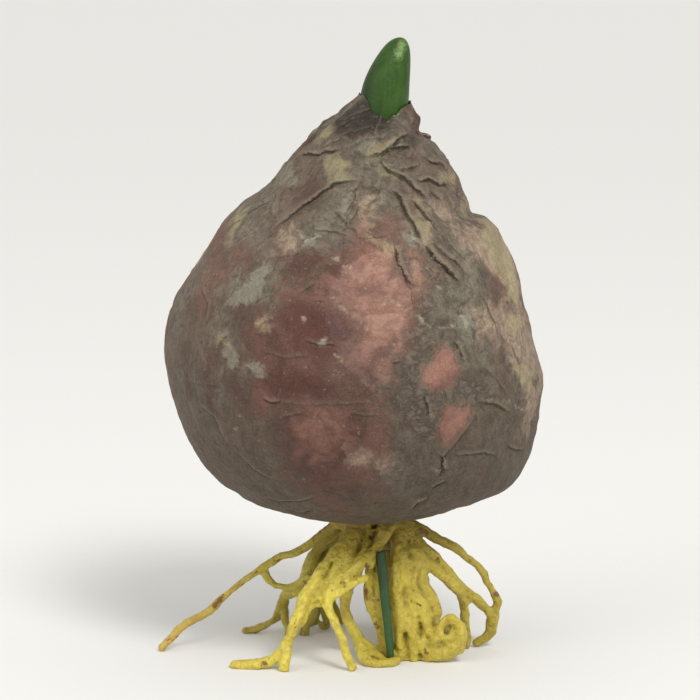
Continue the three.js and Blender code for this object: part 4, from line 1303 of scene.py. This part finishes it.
def make_tunic(material):
    """The dry skin, thin and ragged, torn open at the front."""
    piece, around, up = sheet("tunic_skin", TUNIC_COLUMNS, TUNIC_ROWS)
    azimuth = front_dense(around)
    foot, rim = foot_arc(azimuth), rim_arc(azimuth)
    arc = foot + neck_dense(up) * (rim - foot)
    chart = chart_of(azimuth, arc)
    smooth = skin_points(azimuth, arc)
    relief, crease_gap, crease_depth = skin_relief(chart, smooth)
    torn = patch_depths(chart, HOLES, front_only=True)
    torn = torn + smooth_noise(smooth, TEAR_RAGGED_SIZE, 4, 5) * TEAR_RAGGED
    lifted = TEAR_LIFT * np.exp(-abs(torn) / TEAR_LIFT_REACH) * (1 - clinging(chart))
    place_vertices(piece, closed_on_shoot(skin_points(azimuth, arc, relief + lifted), rim - arc))
    mark_skin(piece, chart)
    mark(piece, "crease_gap", crease_gap)
    mark(piece, "crease_depth", crease_depth)
    cut_tears(piece, torn)
    start_editing(piece)
    bpy.ops.mesh.remove_doubles(threshold=SAME_POINT)
    bpy.ops.mesh.normals_make_consistent(inside=False)
    stop_editing()
    piece.vertex_groups.new(name="inner")
    finish_modifier(piece, "SOLIDIFY", thickness=TUNIC_THICKNESS, offset=-1, shell_vertex_group="inner")
    triangles = sum(len(face.vertices) - 2 for face in piece.data.polygons)
    keep = min(1.0, TRIANGLES / triangles)
    finish_modifier(piece, "DECIMATE", ratio=keep, vertex_group="inner", vertex_group_factor=1000)
    smooth_shading(piece)
    dress(piece, material, "tunic")


def cut_tears(piece, torn):
    """Takes out the faces inside the tears, after moving the vertices next to a tear's edge onto it."""
    grid = vertex_places(piece).astype(np.float64).reshape(TUNIC_ROWS + 1, TUNIC_COLUMNS + 1, 3)
    field = torn.reshape(TUNIC_ROWS + 1, TUNIC_COLUMNS + 1)
    up, along = np.gradient(field)
    tangent_up, tangent_along = np.gradient(grid, axis=(0, 1))
    slope = (up / (tangent_up**2).sum(-1))[..., None] * tangent_up
    slope += (along / (tangent_along**2).sum(-1))[..., None] * tangent_along
    steep = (slope**2).sum(-1)
    near = abs(field) < SNAP_REACH
    shift = np.where(near, -field / np.maximum(steep, LEAST_SLOPE), 0)[..., None] * slope
    length = np.linalg.norm(shift, axis=-1, keepdims=True)
    shift *= np.minimum(1, SNAP_LIMIT / np.maximum(length, TINY))
    place_vertices(piece, (grid + shift).reshape(-1, 3))
    flagged = np.where(near, 0, field).ravel() >= 0
    corners = np.empty(4 * len(piece.data.polygons), dtype=np.int32)
    piece.data.polygons.foreach_get("vertices", corners)
    start_editing(piece)
    bpy.ops.mesh.select_mode(type="FACE")
    bpy.ops.mesh.select_all(action="DESELECT")
    stop_editing()
    piece.data.polygons.foreach_set("select", flagged[corners.reshape(-1, 4)].all(axis=1))
    bpy.ops.object.mode_set(mode="EDIT")
    bpy.ops.mesh.delete(type="FACE")
    stop_editing()


FLESH_COLUMNS = 300
FLESH_ROWS = 150
FLESH_INSET = 0.12 * MM
CLOSEST_CLING = 0.94  # where the dry skin clings, the flesh comes up to it by this share of its inset


def make_bulb(material):
    """The fleshy bulb, close under the dry skin."""
    piece, around, up = sheet("bulb_flesh", FLESH_COLUMNS, FLESH_ROWS)
    azimuth = front_dense(around)
    arc = up * np.interp(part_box("bulb")[1].z, HEIGHT, ARC)
    chart = chart_of(azimuth, arc)
    relief = skin_relief(chart, skin_points(azimuth, arc))[0]
    inset = (FLESH_INSET + TUNIC_THICKNESS) * (1 - CLOSEST_CLING * clinging(chart))
    place_vertices(piece, skin_points(azimuth, arc, relief - inset))
    mark_skin(piece, chart)
    start_editing(piece)
    bpy.ops.mesh.remove_doubles(threshold=SAME_POINT)
    bpy.ops.mesh.select_mode(type="VERT")
    bpy.ops.mesh.select_all(action="DESELECT")
    bpy.ops.mesh.select_non_manifold(extend=False)
    bpy.ops.mesh.edge_face_add()
    bpy.ops.mesh.select_all(action="SELECT")
    bpy.ops.mesh.normals_make_consistent(inside=False)
    stop_editing()
    smooth_shading(piece)
    dress(piece, material, "bulb")


def make_shoot(material):
    """The shoot, smooth and blunt."""
    piece = merged_copy("shoot", "green_shoot")
    start_editing(piece)
    bpy.ops.mesh.tris_convert_to_quads()
    stop_editing()
    finish_modifier(piece, "SUBSURF", levels=2, render_levels=2)
    low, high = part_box("shoot")
    places = vertex_places(piece)
    for name, stroke in (("tip_highlight", TIP_HIGHLIGHT), ("nick", NICK)):
        mark(piece, name, stroke_depths(places, stroke, (low.y + high.y) / 2))
    smooth_shading(piece)
    dress(piece, material, "shoot")


ROOT_VOXEL = 0.27 * MM
ROOT_WANDER = 0.5 * MM  # how far the roots stray from their even lines
BACK_WANDER = 0.5 * MM  # and how much more at the back
BACK_FULL = 4 * MM  # which is from here on
WANDER_SIZE = 5 * MM
WANDER_SEED = 11
CROWN_HOLD = 5 * MM  # they stray less within this distance of the bulb
FLOOR_HOLD = 3 * MM  # and of the floor
SWELLS = [(0.14, 2.2 * MM, 3, 8), (0.08, 0.9 * MM, 2, 9)]  # of the roots: mm, size, octaves and seed
CLEFT_ROUNDS = 24  # rounds of smoothing that tell the clefts between the roots from the roots

STICK_TOP = 16.9 * MM  # its slanted end shows here, in front of the roots
STICK_PLACE = (4.55 * MM, -7.2 * MM)  # its middle there
STICK_SLANT = (-0.5, 0, 0.87)
STICK_LEAN = 1.1 * MM  # its top lies this far in front of the CAD stick
STICK_WIDTHS = 0.8, 1.25  # its widths at the foot and at the top, as shares of the CAD stick's
STICK_BEVEL = 0.1 * MM

# The roots give way round the stick's top.
GIVE_WIDTH, GIVE_HEIGHT = 2.3 * MM, 3.2 * MM
GIVE_ABOVE = 1.2 * MM
GIVE_DEPTH = 2.6 * MM
GIVE_FRONT, GIVE_FADE = -4 * MM, 2 * MM  # only roots in front of this give way


def strand(path, thick, thin, surface, behind=0.0):
    """A thin root on the thick ones, or some way behind their front, along a path on the photograph."""
    points = []
    for pixel in path:
        direction = sight(pixel)
        hit = surface.ray_cast(EYE, direction)[0]
        if hit is None:
            hit = EYE + direction * ((points[-1] - EYE).length - behind if points else DISTANCE)
        points.append(hit + direction * behind)
    curve = bpy.data.curves.new("strand", "CURVE")
    curve.dimensions = "3D"
    curve.bevel_depth = MM
    curve.bevel_resolution = 2
    curve.use_fill_caps = True
    spline = curve.splines.new("NURBS")
    spline.points.add(len(points) - 1)
    spline.use_endpoint_u = True
    for k, point in enumerate(points):
        radius = thick + (thin - thick) * k / (len(points) - 1)
        spline.points[k].co = (point.x, point.y, max(point.z, radius * MM), 1)
        spline.points[k].radius = radius
    piece = bpy.data.objects.new("strand", curve)
    bpy.context.collection.objects.link(piece)
    select_only(piece)
    bpy.ops.object.convert(target="MESH")
    return bpy.context.object


def cleft_depths(piece):
    """How far each vertex lies below a smoothed copy of its surroundings, in metres."""
    edges = np.empty(2 * len(piece.data.edges), dtype=np.int32)
    piece.data.edges.foreach_get("vertices", edges)
    one, other = edges[::2], edges[1::2]
    places = vertex_places(piece).astype(np.float64)
    neighbours = np.maximum(1, np.bincount(edges, minlength=len(places)))
    smoothed = places.copy()
    for _ in range(CLEFT_ROUNDS):
        for axis in range(3):
            along = smoothed[:, axis]
            total = np.bincount(one, along[other], len(places))
            total += np.bincount(other, along[one], len(places))
            smoothed[:, axis] = total / neighbours
    return ((smoothed - places) * vertex_normals(piece)).sum(axis=1)


def stray(places):
    """Moves the roots off their even lines, though not at the crown or on the floor."""
    below_bulb = np.clip((TUNIC_LOW.z - places[:, 2]) / CROWN_HOLD, 0, 1)
    above_floor = np.clip(places[:, 2] / FLOOR_HOLD, 0, 1)
    at_back = np.clip(places[:, 1] / BACK_FULL, 0, 1)
    wander = below_bulb * above_floor * (ROOT_WANDER + BACK_WANDER * at_back)
    for axis in range(3):
        places[:, axis] += wander * smooth_noise(places, WANDER_SIZE, 2, WANDER_SEED + axis)


def give_way(places):
    """Pushes the roots back round the stick's top."""
    across = (places[:, 0] - STICK_PLACE[0]) / GIVE_WIDTH
    over = (places[:, 2] - STICK_TOP - GIVE_ABOVE) / GIVE_HEIGHT
    in_front = np.clip((GIVE_FRONT - places[:, 1]) / GIVE_FADE, 0, 1)
    places[:, 1] += GIVE_DEPTH * in_front * np.exp(-(across**2) - over**2)


def make_roots(material):
    """The CAD's roots with finer strands laid on them, grown together and made uneven."""
    piece = merged_copy("roots", "yellow_roots")
    surface = cad_surface("roots")
    strands = [strand(*line, surface) for line in STRANDS]
    strands += [strand(*line, surface, STRAND_BEHIND) for line in STRANDS_BEHIND]
    select_only(piece)
    for each in strands:
        each.select_set(True)
    bpy.ops.object.join()
    finish_modifier(piece, "REMESH", mode="VOXEL", voxel_size=ROOT_VOXEL)
    finish_modifier(piece, "SMOOTH", factor=0.5, iterations=5)
    places = vertex_places(piece)
    stray(places)
    give_way(places)
    place_vertices(piece, places)
    swell = sum(size * smooth_noise(places, lump, octaves, seed) for size, lump, octaves, seed in SWELLS)
    places += MM * swell[:, None] * vertex_normals(piece)
    places[:, 2] = np.maximum(places[:, 2], 0)
    place_vertices(piece, places)
    mark(piece, "specked", np.max([stroke_depths(places, speck, 0.0) for speck in SPECKS], axis=0))
    mark(piece, "sunken", cleft_depths(piece))
    smooth_shading(piece)
    dress(piece, material, "roots")


def make_stick(material):
    """The stick, broader at its slanted top end, which leans on the front of the roots."""
    piece = merged_copy("stick", "green_stick")
    start_editing(piece)
    slanted_end = {"plane_co": (*STICK_PLACE, STICK_TOP), "plane_no": STICK_SLANT}
    bpy.ops.mesh.bisect(**slanted_end, use_fill=True, clear_outer=True)
    stop_editing()
    places = vertex_places(piece)
    up = places[:, 2] / STICK_TOP
    middle = np.polyval(np.polyfit(places[:, 2], places[:, 0], 1), places[:, 2])
    at_foot, at_top = STICK_WIDTHS
    places[:, 0] = middle + (places[:, 0] - middle) * (at_foot + (at_top - at_foot) * up)
    places[:, 1] -= STICK_LEAN * up
    place_vertices(piece, places)
    finish_modifier(piece, "BEVEL", width=STICK_BEVEL, segments=2, limit_method="ANGLE")
    smooth_shading(piece, angle=40)
    dress(piece, material, "stick")


# ---- The studio ----

FLOOR_RADIUS = 12
SOFTBOXES = [  # name, place, size and power
    ("key", (0.20, -0.42, 0.50), 0.16, 0.8),
    ("fill", (-0.60, -0.45, 0.35), 0.5, 1.1),
]
DAYLIGHT_TURN = math.radians(38), math.radians(24), 0
DAYLIGHT_SPREAD = math.radians(24)
DAYLIGHT = 1.05
ROOM_LIGHT = 0.68


def make_floor(material):
    deselect_all()
    bpy.ops.mesh.primitive_circle_add(vertices=96, radius=FLOOR_RADIUS, fill_type="NGON")
    floor = bpy.context.object
    floor.name = "floor"
    floor.data.materials.append(material)


def make_softbox(name, location, size, power):
    """A round soft light that faces the object."""
    deselect_all()
    bpy.ops.object.light_add(type="AREA", location=location)
    box = bpy.context.object
    box.name = name
    box.data.shape = "DISK"
    box.data.size = size
    box.data.energy = power
    box.rotation_euler = (AIM - Vector(location)).to_track_quat("-Z", "Y").to_euler()


def make_studio():
    """Even light from all round, wide daylight from above and the softboxes."""
    world = bpy.data.worlds.new("studio")
    world.use_nodes = True
    background = next(each for each in world.node_tree.nodes if each.type == "BACKGROUND")
    background.inputs["Color"].default_value = linear("#fbfaf7")
    background.inputs["Strength"].default_value = ROOM_LIGHT
    bpy.context.scene.world = world
    bpy.ops.object.light_add(type="SUN", rotation=DAYLIGHT_TURN)
    daylight = bpy.context.object
    daylight.name = "daylight"
    daylight.data.energy = DAYLIGHT
    daylight.data.angle = DAYLIGHT_SPREAD
    for softbox in SOFTBOXES:
        make_softbox(*softbox)
    bpy.context.scene.view_settings.view_transform = "Standard"


make_camera()
make_tunic(papery_tunic())
make_bulb(moist_flesh())
make_shoot(leaf_green())
make_roots(root_flesh())
make_stick(stick_green())
make_floor(pale_floor())
make_studio()
